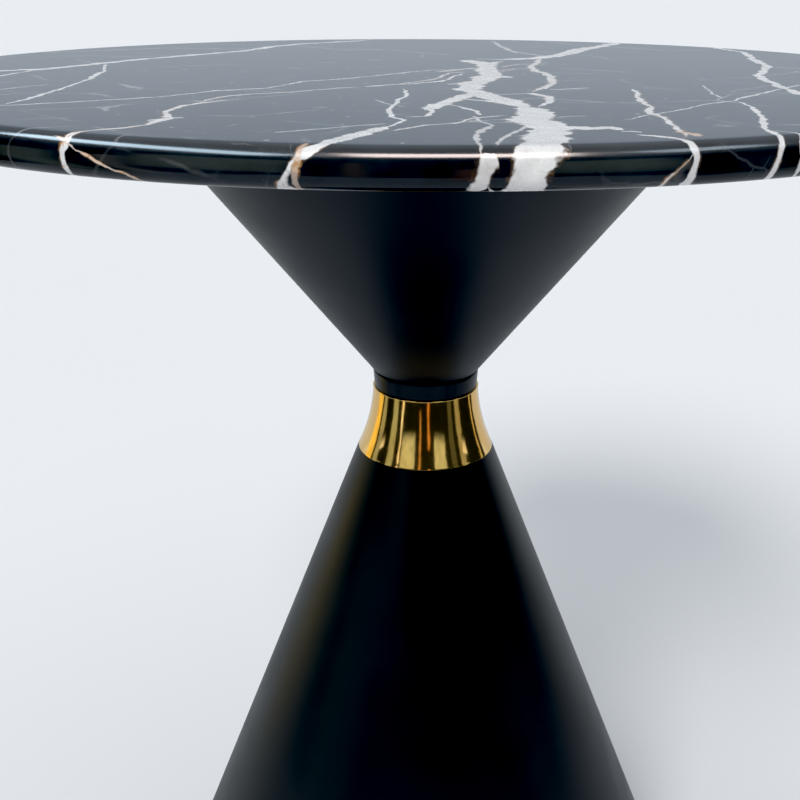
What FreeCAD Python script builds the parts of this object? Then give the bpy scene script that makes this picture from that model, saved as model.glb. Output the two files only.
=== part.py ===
import FreeCAD, Part
import math
import os

from FreeCAD import Vector

# Round pedestal table: a stone disc on an hourglass of two sheet-steel cones that meet at a black neck
# ring and a flared brass collar. One long tie rod clamps the stack together, and four levelling feet
# stand under the base plate. Millimetres, +Z up, origin on the floor in the middle of the base.

# --- stone top
TABLE_HEIGHT = 750.0
TOP_DIAMETER = 700.0
TOP_THICKNESS = 18.0
RIM_FLAT = 2.0  # straight band left between the two quarter-round edges of the rim
INSERT_COUNT = 6
INSERT_RADIUS = 5.0
INSERT_LENGTH = 11.0
INSERT_FLANGE_RADIUS = 6.5
INSERT_FLANGE_THICKNESS = 1.0
INSERT_GLUE_GAP = 0.1

# --- plate that carries the stone
PAD_THICKNESS = 1.5
PAD_WIDTH = 60.0
PLATE_THICKNESS = 5.0
PLATE_FLANGE = 34.0  # how far the plate stands out past the upper cone's mouth
PLATE_CHAMFER = 0.6
SCREW_RADIUS = 3.0
SCREW_LENGTH = 14.0  # from the underside of the head
SCREW_CLEARANCE = 0.4
SCREW_HEAD_RADIUS = 5.25
SCREW_HEAD_HEIGHT = 3.3
SCREW_KEY_FLATS = 4.0
SCREW_KEY_DEPTH = 2.0
PLATE_WASHER_RADIUS = 8.0
PLATE_WASHER_THICKNESS = 1.6

# --- domed socket screws, as shares of their own sizes
SCREW_TIP_CHAMFER = 0.15  # of the shank's radius
SCREW_CROWN_RADIUS = 0.62  # of the head's radius
SCREW_HEAD_BAND = 0.2  # straight band under the dome, of the head's height
SCREW_DOME_BREAK_RADIUS = 0.9  # of the head's radius
SCREW_DOME_BREAK_HEIGHT = 0.72  # of the head's height

# --- hourglass
CONE_WALL = 2.0
UPPER_MOUTH_RADIUS = 188.5
WAIST_RADIUS = 38.2
NECK_PROUD = 0.9  # the neck ring's corner stands this far out past the upper cone
NECK_HEIGHT = 13.0
NECK_UNDERCUT = 1.1  # how much narrower the neck ring is at its foot than at its top
NECK_EDGE_ROUND = 1.2
NECK_SPIGOT_DEPTH = 6.0
NECK_SPIGOT_GAP = 0.25
COLLAR_HEIGHT = 48.8
COLLAR_WALL = 1.6
COLLAR_FOOT_INSET = 0.2  # the collar's foot stands this far inside the lower cone's top edge
COLLAR_TOP_ANGLE = 3.0  # degrees from upright where the flare starts
FLARE_OVERRUN = 2.0  # degrees
COLLAR_LIP_HEIGHT = 0.9
COLLAR_LIP_PROUD = 0.25
COLLAR_LIP_EDGE = 0.3  # height of the lip's sloping edges
COLLAR_BASE_HEIGHT = 475.5
LOWER_TOP_RADIUS = 51.0
LOWER_FOOT_RADIUS = 233.0
LOWER_EDGE_HEIGHT = 8.0  # gap under the lower cone's bottom edge

# --- discs, tube and rod inside the hourglass
CONE_DISC_THICKNESS = 5.0
WELD_GAP = 0.1
SPACER_RADIUS = 20.0
SPACER_WALL = 4.0
SPACER_CLEARANCE = 0.2
ROD_RADIUS = 6.0
ROD_CLEARANCE = 0.5
ROD_END = 2.0  # rod left showing below its nut
BOSS_RADIUS = 14.0
BOSS_HEIGHT = 25.0
THREAD_GAP = 0.05
NUT_M12_FLATS = 18.0
NUT_M12_HEIGHT = 10.0
NUT_CORNER_ANGLE = 30.0  # degrees, of the turned-off corners of every nut
ROD_WASHER_RADIUS = 18.5
ROD_WASHER_THICKNESS = 3.0
SPRING_WASHER_RADIUS = 10.5
SPRING_WASHER_THICKNESS = 2.5
SPRING_WASHER_SLOT = 2.0

# --- base plate and ballast
PLATE_UNDERSIDE_HEIGHT = 24.0
BASE_PLATE_THICKNESS = 8.0
BASE_PLATE_GAP = 0.6
SEAT_RING_HEIGHT = 6.0
SEAT_RING_WIDTH = 14.0
BALLAST_TO_NUTS = 27.0
BALLAST_THICKNESS = 22.0
BALLAST_EDGE_ROUND = 3.0
BALLAST_SCREW_COUNT = 3
FIRST_BALLAST_SCREW = 90.0  # degrees
BALLAST_SCREW_INSET = 50.0
BALLAST_SCREW_RADIUS = 4.0
BALLAST_SCREW_LENGTH = 22.0
BALLAST_HOLE_SPARE = 2.0  # tapped hole beyond the screw's end
BALLAST_BORE_RADIUS = 12.0
BALLAST_HEAD_RADIUS = 7.0
BALLAST_HEAD_HEIGHT = 4.4
BALLAST_KEY_FLATS = 5.0
BALLAST_KEY_DEPTH = 2.6
TRIM_WIDTH = 5.0
TRIM_HEIGHT = 6.0
TRIM_BELOW_EDGE = 2.0
TRIM_CUT_OVERRUN = 1.0  # the cut for the sheet runs this far past it

# --- levelling feet
FOOT_COUNT = 4
FIRST_FOOT = 45.0  # degrees
FOOT_INSET = 19.0  # from the seat ring's bore to a foot's axis
FOOT_TRAVEL = 10.0
STUD_RADIUS = 5.0
STUD_RUNNING_GAP = 0.05
STUD_HOLE_CLEARANCE = 0.5
STUD_END_CHAMFER = 1.0
NUT_M10_FLATS = 16.0
FOOT_NUT_HEIGHT = 8.0
LOCK_NUT_HEIGHT = 6.0
LOCK_NUT_TO_FLANGE = 0.5
STUD_FLANGE_FLATS = 14.0
STUD_FLANGE_HEIGHT = 5.0
STUD_BALL_RADIUS = 4.5
BALL_DEPTH = 0.6  # of its radius, from the pad's top down to the ball's centre
STUD_NECK_RADIUS = 3.0
BALL_SOCKET_GAP = 0.3
FOOT_PAD_RADIUS = 20.0
FOOT_PAD_RIM_HEIGHT = 4.0
FOOT_PAD_CHAMFER = 1.0
FOOT_PAD_TOP_RADIUS = 9.0
PAD_TO_FLANGE = 0.8

# --- heights that follow, from the floor up
BASE_PLATE_TOP = PLATE_UNDERSIDE_HEIGHT + BASE_PLATE_THICKNESS
COLLAR_TOP = COLLAR_BASE_HEIGHT + COLLAR_HEIGHT
NECK_TOP = COLLAR_TOP + NECK_HEIGHT
STONE_UNDERSIDE = TABLE_HEIGHT - TOP_THICKNESS
MOUNTING_PLATE_TOP = STONE_UNDERSIDE - PAD_THICKNESS
MOUNTING_PLATE_UNDERSIDE = MOUNTING_PLATE_TOP - PLATE_THICKNESS
MOUNTING_PLATE_RADIUS = UPPER_MOUTH_RADIUS + PLATE_FLANGE
SCREW_CIRCLE = UPPER_MOUTH_RADIUS + PLATE_FLANGE / 2
SPACER_TOP = NECK_TOP
LOWER_CAP_UNDERSIDE = COLLAR_BASE_HEIGHT - CONE_DISC_THICKNESS
ROD_NUT_UNDERSIDE = (
    PLATE_UNDERSIDE_HEIGHT - ROD_WASHER_THICKNESS - SPRING_WASHER_THICKNESS - NUT_M12_HEIGHT
)
ROD_BOTTOM = ROD_NUT_UNDERSIDE - ROD_END
FOOT_NUT_TOP = BASE_PLATE_TOP + FOOT_NUT_HEIGHT
LOCK_NUT_UNDERSIDE = PLATE_UNDERSIDE_HEIGHT - LOCK_NUT_HEIGHT
FLANGE_TOP = LOCK_NUT_UNDERSIDE - LOCK_NUT_TO_FLANGE
FLANGE_UNDERSIDE = FLANGE_TOP - STUD_FLANGE_HEIGHT
FOOT_PAD_TOP = FLANGE_UNDERSIDE - PAD_TO_FLANGE
STUD_TOP = FOOT_NUT_TOP + FOOT_TRAVEL


def slant(wall, r0, z0, r1, z1):
    """Thickness of a sloping wall, measured level."""
    return wall * math.hypot(r1 - r0, z1 - z0) / abs(z1 - z0)


def radius_at(z, r0, z0, r1, z1):
    """Radius at height z of the cone through (r0, z0) and (r1, z1)."""
    return r0 + (r1 - r0) * (z - z0) / (z1 - z0)


UPPER_SLANT = slant(CONE_WALL, WAIST_RADIUS, NECK_TOP, UPPER_MOUTH_RADIUS, MOUNTING_PLATE_UNDERSIDE)
LOWER_SLANT = slant(
    CONE_WALL, LOWER_FOOT_RADIUS, LOWER_EDGE_HEIGHT, LOWER_TOP_RADIUS, COLLAR_BASE_HEIGHT
)


def lower_outer(z):
    return radius_at(z, LOWER_FOOT_RADIUS, LOWER_EDGE_HEIGHT, LOWER_TOP_RADIUS, COLLAR_BASE_HEIGHT)


def lower_inner(z):
    return lower_outer(z) - LOWER_SLANT


# --- radii that follow
NECK_RADIUS = WAIST_RADIUS + NECK_PROUD
COLLAR_FOOT_RADIUS = LOWER_TOP_RADIUS - COLLAR_FOOT_INSET
SEAT_RING_RADIUS = lower_inner(BASE_PLATE_TOP + SEAT_RING_HEIGHT) - WELD_GAP
FOOT_CIRCLE = SEAT_RING_RADIUS - SEAT_RING_WIDTH - FOOT_INSET
BALLAST_RADIUS = FOOT_CIRCLE - NUT_M10_FLATS / math.sqrt(3) - BALLAST_TO_NUTS
BALLAST_SCREW_CIRCLE = BALLAST_RADIUS - BALLAST_SCREW_INSET


def point(r, z):
    return Vector(r, 0, z)


def revolve(edges):
    """Solid of revolution about Z of a closed outline in the XZ plane."""
    face = Part.Face(Part.Wire(edges))
    return face.revolve(Vector(0, 0, 0), Vector(0, 0, 1), 360)


def revolve_outline(corners):
    """Solid of revolution of a straight-sided outline given as (radius, height) corners."""
    points = [point(r, z) for r, z in corners]
    return revolve(Part.makePolygon(points + points[:1]).Edges)


def line(r0, z0, r1, z1):
    return Part.LineSegment(point(r0, z0), point(r1, z1)).toShape()


def arc(centre_r, centre_z, radius, start, end):
    """Arc in the XZ plane, angles in degrees from +X towards +Z."""
    spots = []
    for angle in (start, (start + end) / 2, end):
        turn = math.radians(angle)
        spots.append(point(centre_r + radius * math.cos(turn), centre_z + radius * math.sin(turn)))
    return Part.Arc(*spots).toShape()


def disc(radius, z, height):
    return Part.makeCylinder(radius, height, point(0, z))


def ring(outer, inner, z, height):
    return disc(outer, z, height).cut(disc(inner, z, height))


def hexagon(flats, z, height):
    """Upright hexagonal bar on the Z axis, its size given across flats."""
    corner = flats / math.sqrt(3)
    corners = []
    for side in range(7):
        turn = math.radians(60 * side)
        corners.append(Vector(corner * math.cos(turn), corner * math.sin(turn), z))
    return Part.Face(Part.makePolygon(corners)).extrude(Vector(0, 0, height))


def hex_nut(flats, bore, z, height):
    """Hexagon nut with the corners turned off on both faces."""
    corner = flats / math.sqrt(3)
    flat = flats / 2
    chamfer = (corner - flat) * math.tan(math.radians(NUT_CORNER_ANGLE))
    turned = revolve_outline(
        [
            (bore, z),
            (flat, z),
            (corner, z + chamfer),
            (corner, z + height - chamfer),
            (flat, z + height),
            (bore, z + height),
        ]
    )
    return turned.common(hexagon(flats, z, height))


def button_screw(radius, length, head_radius, head_height, key_flats, key_depth, z):
    """Button-head socket screw that points up, the underside of its head at height z."""
    shank = disc(radius, z, length)
    tip = [e for e in shank.Edges if e.BoundBox.ZMin > z + length / 2]
    shank = shank.makeChamfer(SCREW_TIP_CHAMFER * radius, tip)
    crown = z - head_height
    head = revolve_outline(
        [
            (0, z),
            (head_radius, z),
            (head_radius, z - SCREW_HEAD_BAND * head_height),
            (SCREW_DOME_BREAK_RADIUS * head_radius, z - SCREW_DOME_BREAK_HEIGHT * head_height),
            (SCREW_CROWN_RADIUS * head_radius, crown),
            (0, crown),
        ]
    )
    key = hexagon(key_flats, crown, key_depth)
    return shank.fuse(head).cut(key).removeSplitter()


def around(shape, count, radius, first=0.0):
    """Copies of a shape from the Z axis, spaced evenly on a circle."""
    copies = []
    for step in range(count):
        turn = first + 360.0 * step / count
        copy = shape.copy()
        copy.translate(Vector(radius, 0, 0))
        copy.rotate(Vector(0, 0, 0), Vector(0, 0, 1), turn)
        copies.append(copy)
    return copies


def drill(shape, radius, z, height, count, circle, first=0.0):
    """Evenly spaced round holes on a circle."""
    for hole in around(disc(radius, z, height), count, circle, first):
        shape = shape.cut(hole)
    return shape


def marble_top():
    outer = TOP_DIAMETER / 2
    round_radius = (TOP_THICKNESS - RIM_FLAT) / 2
    shoulder = outer - round_radius
    low = STONE_UNDERSIDE + round_radius
    high = TABLE_HEIGHT - round_radius
    stone = revolve(
        [
            line(0, STONE_UNDERSIDE, shoulder, STONE_UNDERSIDE),
            arc(shoulder, low, round_radius, -90, 0),
            line(outer, low, outer, high),
            arc(shoulder, high, round_radius, 0, 90),
            line(shoulder, TABLE_HEIGHT, 0, TABLE_HEIGHT),
            line(0, TABLE_HEIGHT, 0, STONE_UNDERSIDE),
        ]
    )
    stone = drill(
        stone,
        INSERT_RADIUS + INSERT_GLUE_GAP,
        STONE_UNDERSIDE,
        INSERT_LENGTH + INSERT_GLUE_GAP,
        INSERT_COUNT,
        SCREW_CIRCLE,
    )
    return drill(
        stone,
        INSERT_FLANGE_RADIUS + INSERT_GLUE_GAP,
        STONE_UNDERSIDE,
        INSERT_FLANGE_THICKNESS,
        INSERT_COUNT,
        SCREW_CIRCLE,
    )


def stone_inserts():
    bore = SCREW_RADIUS + THREAD_GAP
    insert = revolve_outline(
        [
            (bore, STONE_UNDERSIDE),
            (INSERT_FLANGE_RADIUS, STONE_UNDERSIDE),
            (INSERT_FLANGE_RADIUS, STONE_UNDERSIDE + INSERT_FLANGE_THICKNESS),
            (INSERT_RADIUS, STONE_UNDERSIDE + INSERT_FLANGE_THICKNESS),
            (INSERT_RADIUS, STONE_UNDERSIDE + INSERT_LENGTH),
            (bore, STONE_UNDERSIDE + INSERT_LENGTH),
        ]
    )
    return Part.makeCompound(around(insert, INSERT_COUNT, SCREW_CIRCLE))


def stone_pad():
    pad = ring(MOUNTING_PLATE_RADIUS, MOUNTING_PLATE_RADIUS - PAD_WIDTH, MOUNTING_PLATE_TOP, PAD_THICKNESS)
    return drill(
        pad,
        INSERT_FLANGE_RADIUS + SCREW_CLEARANCE,
        MOUNTING_PLATE_TOP,
        PAD_THICKNESS,
        INSERT_COUNT,
        SCREW_CIRCLE,
    )


def mounting_plate():
    plate = disc(MOUNTING_PLATE_RADIUS, MOUNTING_PLATE_UNDERSIDE, PLATE_THICKNESS)
    rim = [e for e in plate.Edges if len(e.Vertexes) == 1]
    plate = plate.makeChamfer(PLATE_CHAMFER, rim)
    return drill(
        plate,
        SCREW_RADIUS + SCREW_CLEARANCE,
        MOUNTING_PLATE_UNDERSIDE,
        PLATE_THICKNESS,
        INSERT_COUNT,
        SCREW_CIRCLE,
    )


def plate_washers():
    washer = ring(
        PLATE_WASHER_RADIUS,
        SCREW_RADIUS + SCREW_CLEARANCE,
        MOUNTING_PLATE_UNDERSIDE - PLATE_WASHER_THICKNESS,
        PLATE_WASHER_THICKNESS,
    )
    return Part.makeCompound(around(washer, INSERT_COUNT, SCREW_CIRCLE))


def plate_screws():
    screw = button_screw(
        SCREW_RADIUS,
        SCREW_LENGTH,
        SCREW_HEAD_RADIUS,
        SCREW_HEAD_HEIGHT,
        SCREW_KEY_FLATS,
        SCREW_KEY_DEPTH,
        MOUNTING_PLATE_UNDERSIDE - PLATE_WASHER_THICKNESS,
    )
    return Part.makeCompound(around(screw, INSERT_COUNT, SCREW_CIRCLE))


def rod_boss():
    return ring(
        BOSS_RADIUS, ROD_RADIUS + THREAD_GAP, MOUNTING_PLATE_UNDERSIDE - BOSS_HEIGHT, BOSS_HEIGHT
    )


def upper_cone():
    return revolve_outline(
        [
            (WAIST_RADIUS, NECK_TOP),
            (UPPER_MOUTH_RADIUS, MOUNTING_PLATE_UNDERSIDE),
            (UPPER_MOUTH_RADIUS - UPPER_SLANT, MOUNTING_PLATE_UNDERSIDE),
            (WAIST_RADIUS - UPPER_SLANT, NECK_TOP),
        ]
    )


def upper_cone_floor():
    return ring(
        WAIST_RADIUS - UPPER_SLANT - WELD_GAP,
        ROD_RADIUS + ROD_CLEARANCE,
        NECK_TOP,
        CONE_DISC_THICKNESS,
    )


def collar_flare():
    """(radius of the flare's arc, its angle from upright at the foot, in degrees)."""
    run = COLLAR_FOOT_RADIUS - NECK_RADIUS
    mean = math.degrees(math.atan2(run, COLLAR_HEIGHT))
    foot_angle = 2 * mean - COLLAR_TOP_ANGLE
    rise = math.sin(math.radians(foot_angle)) - math.sin(math.radians(COLLAR_TOP_ANGLE))
    return COLLAR_HEIGHT / rise, foot_angle


def gold_collar():
    radius, foot_angle = collar_flare()
    centre_r = COLLAR_FOOT_RADIUS + radius * math.cos(math.radians(foot_angle))
    centre_z = COLLAR_BASE_HEIGHT + radius * math.sin(math.radians(foot_angle))
    # both arcs run a little past the collar's ends, which are then trimmed level
    start = 180 + COLLAR_TOP_ANGLE - FLARE_OVERRUN
    end = 180 + foot_angle + FLARE_OVERRUN
    outside = arc(centre_r, centre_z, radius, start, end)
    inside = arc(centre_r, centre_z, radius + COLLAR_WALL, start, end)
    outer_top = outside.Vertexes[0].Point
    outer_foot = outside.Vertexes[1].Point
    inner_top = inside.Vertexes[0].Point
    inner_foot = inside.Vertexes[1].Point
    shell = revolve(
        [
            outside,
            Part.LineSegment(outer_foot, inner_foot).toShape(),
            inside,
            Part.LineSegment(inner_top, outer_top).toShape(),
        ]
    )
    above = disc(2 * COLLAR_FOOT_RADIUS, COLLAR_TOP, COLLAR_HEIGHT)
    below = disc(2 * COLLAR_FOOT_RADIUS, 0, COLLAR_BASE_HEIGHT)
    shell = shell.cut(above).cut(below)
    lip_foot = COLLAR_TOP - COLLAR_LIP_HEIGHT
    lip_outer = NECK_RADIUS + COLLAR_LIP_PROUD
    lip_inner = NECK_RADIUS - COLLAR_WALL / 2
    lip = revolve_outline(
        [
            (lip_inner, lip_foot - COLLAR_LIP_EDGE),
            (NECK_RADIUS + COLLAR_LIP_PROUD / 2, lip_foot - COLLAR_LIP_EDGE),
            (lip_outer, lip_foot),
            (lip_outer, COLLAR_TOP - COLLAR_LIP_EDGE),
            (NECK_RADIUS, COLLAR_TOP),
            (lip_inner, COLLAR_TOP),
        ]
    )
    return shell.fuse(lip).removeSplitter()


def collar_bore():
    """Radius of the collar's hollow at its top."""
    return NECK_RADIUS - COLLAR_WALL / math.cos(math.radians(COLLAR_TOP_ANGLE))


def neck_ring():
    foot_radius = NECK_RADIUS - NECK_UNDERCUT
    bore = SPACER_RADIUS + SPACER_CLEARANCE
    spigot = collar_bore() - NECK_SPIGOT_GAP
    bend = NECK_TOP - NECK_EDGE_ROUND
    return revolve(
        [
            line(bore, NECK_TOP, NECK_RADIUS - NECK_EDGE_ROUND, NECK_TOP),
            arc(NECK_RADIUS - NECK_EDGE_ROUND, bend, NECK_EDGE_ROUND, 90, 0),
            line(NECK_RADIUS, bend, foot_radius, COLLAR_TOP),
            line(foot_radius, COLLAR_TOP, spigot, COLLAR_TOP),
            line(spigot, COLLAR_TOP, spigot, COLLAR_TOP - NECK_SPIGOT_DEPTH),
            line(spigot, COLLAR_TOP - NECK_SPIGOT_DEPTH, bore, COLLAR_TOP - NECK_SPIGOT_DEPTH),
            line(bore, COLLAR_TOP - NECK_SPIGOT_DEPTH, bore, NECK_TOP),
        ]
    )


def spacer_tube():
    return ring(
        SPACER_RADIUS, SPACER_RADIUS - SPACER_WALL, COLLAR_BASE_HEIGHT, SPACER_TOP - COLLAR_BASE_HEIGHT
    )


def lower_cone():
    return revolve_outline(
        [
            (LOWER_FOOT_RADIUS, LOWER_EDGE_HEIGHT),
            (LOWER_TOP_RADIUS, COLLAR_BASE_HEIGHT),
            (LOWER_TOP_RADIUS - LOWER_SLANT, COLLAR_BASE_HEIGHT),
            (LOWER_FOOT_RADIUS - LOWER_SLANT, LOWER_EDGE_HEIGHT),
        ]
    )


def lower_cone_cap():
    return ring(
        LOWER_TOP_RADIUS - LOWER_SLANT - WELD_GAP,
        ROD_RADIUS + ROD_CLEARANCE,
        LOWER_CAP_UNDERSIDE,
        CONE_DISC_THICKNESS,
    )


def tie_rod():
    return disc(ROD_RADIUS, ROD_BOTTOM, MOUNTING_PLATE_UNDERSIDE - ROD_BOTTOM)


def rod_washer():
    return ring(
        ROD_WASHER_RADIUS,
        ROD_RADIUS + ROD_CLEARANCE,
        PLATE_UNDERSIDE_HEIGHT - ROD_WASHER_THICKNESS,
        ROD_WASHER_THICKNESS,
    )


def rod_spring_washer():
    z = ROD_NUT_UNDERSIDE + NUT_M12_HEIGHT
    washer = ring(SPRING_WASHER_RADIUS, ROD_RADIUS + ROD_CLEARANCE, z, SPRING_WASHER_THICKNESS)
    slot = Part.makeBox(
        2 * SPRING_WASHER_RADIUS,
        SPRING_WASHER_SLOT,
        SPRING_WASHER_THICKNESS,
        Vector(0, -SPRING_WASHER_SLOT / 2, z),
    )
    return washer.cut(slot)


def rod_nut():
    return hex_nut(NUT_M12_FLATS, ROD_RADIUS + THREAD_GAP, ROD_NUT_UNDERSIDE, NUT_M12_HEIGHT)


def seat_ring():
    bore = SEAT_RING_RADIUS - SEAT_RING_WIDTH
    return ring(SEAT_RING_RADIUS, bore, BASE_PLATE_TOP, SEAT_RING_HEIGHT)


def base_plate():
    radius = lower_inner(BASE_PLATE_TOP) - BASE_PLATE_GAP
    z = PLATE_UNDERSIDE_HEIGHT
    plate = ring(radius, ROD_RADIUS + ROD_CLEARANCE, z, BASE_PLATE_THICKNESS)
    plate = drill(
        plate,
        STUD_RADIUS + STUD_HOLE_CLEARANCE,
        z,
        BASE_PLATE_THICKNESS,
        FOOT_COUNT,
        FOOT_CIRCLE,
        FIRST_FOOT,
    )
    return drill(
        plate,
        BALLAST_SCREW_RADIUS + SCREW_CLEARANCE,
        z,
        BASE_PLATE_THICKNESS,
        BALLAST_SCREW_COUNT,
        BALLAST_SCREW_CIRCLE,
        FIRST_BALLAST_SCREW,
    )


def ballast_disc():
    weight = disc(BALLAST_RADIUS, BASE_PLATE_TOP, BALLAST_THICKNESS)
    top_edge = [e for e in weight.Edges if e.BoundBox.ZMin > BASE_PLATE_TOP + BALLAST_THICKNESS / 2]
    weight = weight.makeFillet(BALLAST_EDGE_ROUND, top_edge)
    weight = weight.cut(disc(BALLAST_BORE_RADIUS, BASE_PLATE_TOP, BALLAST_THICKNESS))
    return drill(
        weight,
        BALLAST_SCREW_RADIUS + THREAD_GAP,
        BASE_PLATE_TOP,
        BALLAST_SCREW_LENGTH - BASE_PLATE_THICKNESS + BALLAST_HOLE_SPARE,
        BALLAST_SCREW_COUNT,
        BALLAST_SCREW_CIRCLE,
        FIRST_BALLAST_SCREW,
    )


def ballast_screws():
    screw = button_screw(
        BALLAST_SCREW_RADIUS,
        BALLAST_SCREW_LENGTH,
        BALLAST_HEAD_RADIUS,
        BALLAST_HEAD_HEIGHT,
        BALLAST_KEY_FLATS,
        BALLAST_KEY_DEPTH,
        PLATE_UNDERSIDE_HEIGHT,
    )
    return Part.makeCompound(
        around(screw, BALLAST_SCREW_COUNT, BALLAST_SCREW_CIRCLE, FIRST_BALLAST_SCREW)
    )


def edge_trim():
    """Soft channel pushed up over the lower cone's bottom edge, from the inside."""
    low = LOWER_EDGE_HEIGHT - TRIM_BELOW_EDGE
    high = low + TRIM_HEIGHT
    trim = revolve_outline(
        [
            (lower_outer(low), low),
            (lower_outer(low) - TRIM_WIDTH, low),
            (lower_outer(high) - TRIM_WIDTH, high),
            (lower_outer(high), high),
        ]
    )
    edge = revolve_outline(
        [
            (lower_outer(LOWER_EDGE_HEIGHT) + TRIM_CUT_OVERRUN, LOWER_EDGE_HEIGHT),
            (lower_outer(high) + TRIM_CUT_OVERRUN, high),
            (lower_inner(high), high),
            (lower_inner(LOWER_EDGE_HEIGHT), LOWER_EDGE_HEIGHT),
        ]
    )
    return trim.cut(edge)


def foot_nuts():
    nut = hex_nut(NUT_M10_FLATS, STUD_RADIUS + STUD_RUNNING_GAP, BASE_PLATE_TOP, FOOT_NUT_HEIGHT)
    return Part.makeCompound(around(nut, FOOT_COUNT, FOOT_CIRCLE, FIRST_FOOT))


def foot_lock_nuts():
    nut = hex_nut(NUT_M10_FLATS, STUD_RADIUS + STUD_RUNNING_GAP, LOCK_NUT_UNDERSIDE, LOCK_NUT_HEIGHT)
    return Part.makeCompound(around(nut, FOOT_COUNT, FOOT_CIRCLE, FIRST_FOOT))


def ball_height():
    """Centre of the stud's ball, set so that the pad's socket holds it past its middle."""
    return FOOT_PAD_TOP - BALL_DEPTH * STUD_BALL_RADIUS


def foot_stud():
    shank = disc(STUD_RADIUS, FLANGE_TOP, STUD_TOP - FLANGE_TOP)
    upper_end = [e for e in shank.Edges if e.BoundBox.ZMin > (FLANGE_TOP + STUD_TOP) / 2]
    shank = shank.makeChamfer(STUD_END_CHAMFER, upper_end)
    flange = hexagon(STUD_FLANGE_FLATS, FLANGE_UNDERSIDE, STUD_FLANGE_HEIGHT)
    neck = disc(STUD_NECK_RADIUS, ball_height(), FLANGE_UNDERSIDE - ball_height())
    ball = Part.makeSphere(STUD_BALL_RADIUS, point(0, ball_height()))
    return shank.fuse([flange, neck, ball]).removeSplitter()


def foot_pad():
    blank = revolve_outline(
        [
            (0, 0),
            (FOOT_PAD_RADIUS - FOOT_PAD_CHAMFER, 0),
            (FOOT_PAD_RADIUS, FOOT_PAD_CHAMFER),
            (FOOT_PAD_RADIUS, FOOT_PAD_RIM_HEIGHT),
            (FOOT_PAD_TOP_RADIUS, FOOT_PAD_TOP),
            (0, FOOT_PAD_TOP),
        ]
    )
    socket = Part.makeSphere(STUD_BALL_RADIUS + BALL_SOCKET_GAP, point(0, ball_height()))
    mouth = disc(STUD_NECK_RADIUS + 2 * BALL_SOCKET_GAP, ball_height(), STUD_BALL_RADIUS)
    return blank.cut(socket.fuse(mouth))


def place_feet():
    studs = around(foot_stud(), FOOT_COUNT, FOOT_CIRCLE, FIRST_FOOT)
    pads = around(foot_pad(), FOOT_COUNT, FOOT_CIRCLE, FIRST_FOOT)
    feet = {}
    for number in range(FOOT_COUNT):
        feet[f"foot_{number + 1}_stud"] = studs[number]
        feet[f"foot_{number + 1}_pad"] = pads[number]
    return feet


def build():
    """Every piece of the table, by name."""
    makers = (
        marble_top,
        stone_inserts,
        stone_pad,
        mounting_plate,
        plate_washers,
        plate_screws,
        rod_boss,
        upper_cone,
        upper_cone_floor,
        neck_ring,
        gold_collar,
        spacer_tube,
        lower_cone,
        lower_cone_cap,
        tie_rod,
        rod_washer,
        rod_spring_washer,
        rod_nut,
        seat_ring,
        base_plate,
        ballast_disc,
        ballast_screws,
        edge_trim,
        foot_nuts,
        foot_lock_nuts,
    )
    pieces = {maker.__name__: maker() for maker in makers}
    pieces.update(place_feet())
    return pieces


os.makedirs("parts", exist_ok=True)
for name, shape in build().items():
    if not shape.isValid() or not shape.Solids:
        raise ValueError(f"{name} is not a valid solid")
    shape.exportStep(f"parts/{name}.step")
    print(f"{name}: {len(shape.Solids)} solid(s), {shape.Volume / 1000:.1f} cm3")
print(f"feet stand on a circle of radius {FOOT_CIRCLE:.3f} mm")
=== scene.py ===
"""Round pedestal table: a veined black stone top on two black cones joined by a gold collar.

Run as a script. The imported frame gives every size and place, each operator makes one piece or one
group of like pieces, and the stage operator leaves the floor, the lights and the camera.
All lengths are in metres, and vein routes on the stone are in centimetres.
"""

import math

import bmesh
import bpy
from mathutils import Matrix, Vector


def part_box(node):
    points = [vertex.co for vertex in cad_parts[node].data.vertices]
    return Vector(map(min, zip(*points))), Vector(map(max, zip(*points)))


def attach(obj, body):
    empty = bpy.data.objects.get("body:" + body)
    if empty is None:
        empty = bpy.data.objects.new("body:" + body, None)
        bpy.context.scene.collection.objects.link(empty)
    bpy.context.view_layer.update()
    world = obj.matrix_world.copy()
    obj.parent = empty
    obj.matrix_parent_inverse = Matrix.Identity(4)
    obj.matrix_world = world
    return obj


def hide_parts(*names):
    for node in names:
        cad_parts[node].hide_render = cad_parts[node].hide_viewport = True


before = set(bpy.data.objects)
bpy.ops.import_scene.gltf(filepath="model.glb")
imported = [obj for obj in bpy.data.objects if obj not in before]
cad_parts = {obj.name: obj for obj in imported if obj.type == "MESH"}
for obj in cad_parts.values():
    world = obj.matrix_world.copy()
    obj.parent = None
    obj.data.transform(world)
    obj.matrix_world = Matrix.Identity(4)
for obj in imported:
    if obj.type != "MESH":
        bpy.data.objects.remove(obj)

bl_info = {
    "name": "Round pedestal table",
    "version": (1, 0, 0),
    "blender": (4, 5, 0),
    "location": "3D View > Sidebar > Pedestal table",
    "description": "Builds the seen pieces of a round stone pedestal table on its packed frame",
    "category": "Object",
}

MM = 0.001
LARGE_ROUND = 256  # straight stretches around the big turned pieces
SMALL_ROUND = 48  # the same around screws, nuts and studs, a multiple of six
SHARP_EDGE = math.radians(32)
FOOT_NUMBERS = (1, 2, 3, 4)


# ---------------------------------------------------------------- sizes and colours


def colour_setting(name, description, default):
    return bpy.props.FloatVectorProperty(
        name=name, description=description, subtype="COLOR", default=default
    )


def length_setting(name, description, default):
    return bpy.props.FloatProperty(
        name=name, description=description, subtype="DISTANCE", default=default
    )


def angle_setting(name, description, default):
    return bpy.props.FloatProperty(
        name=name, description=description, subtype="ANGLE", default=default
    )


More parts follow.
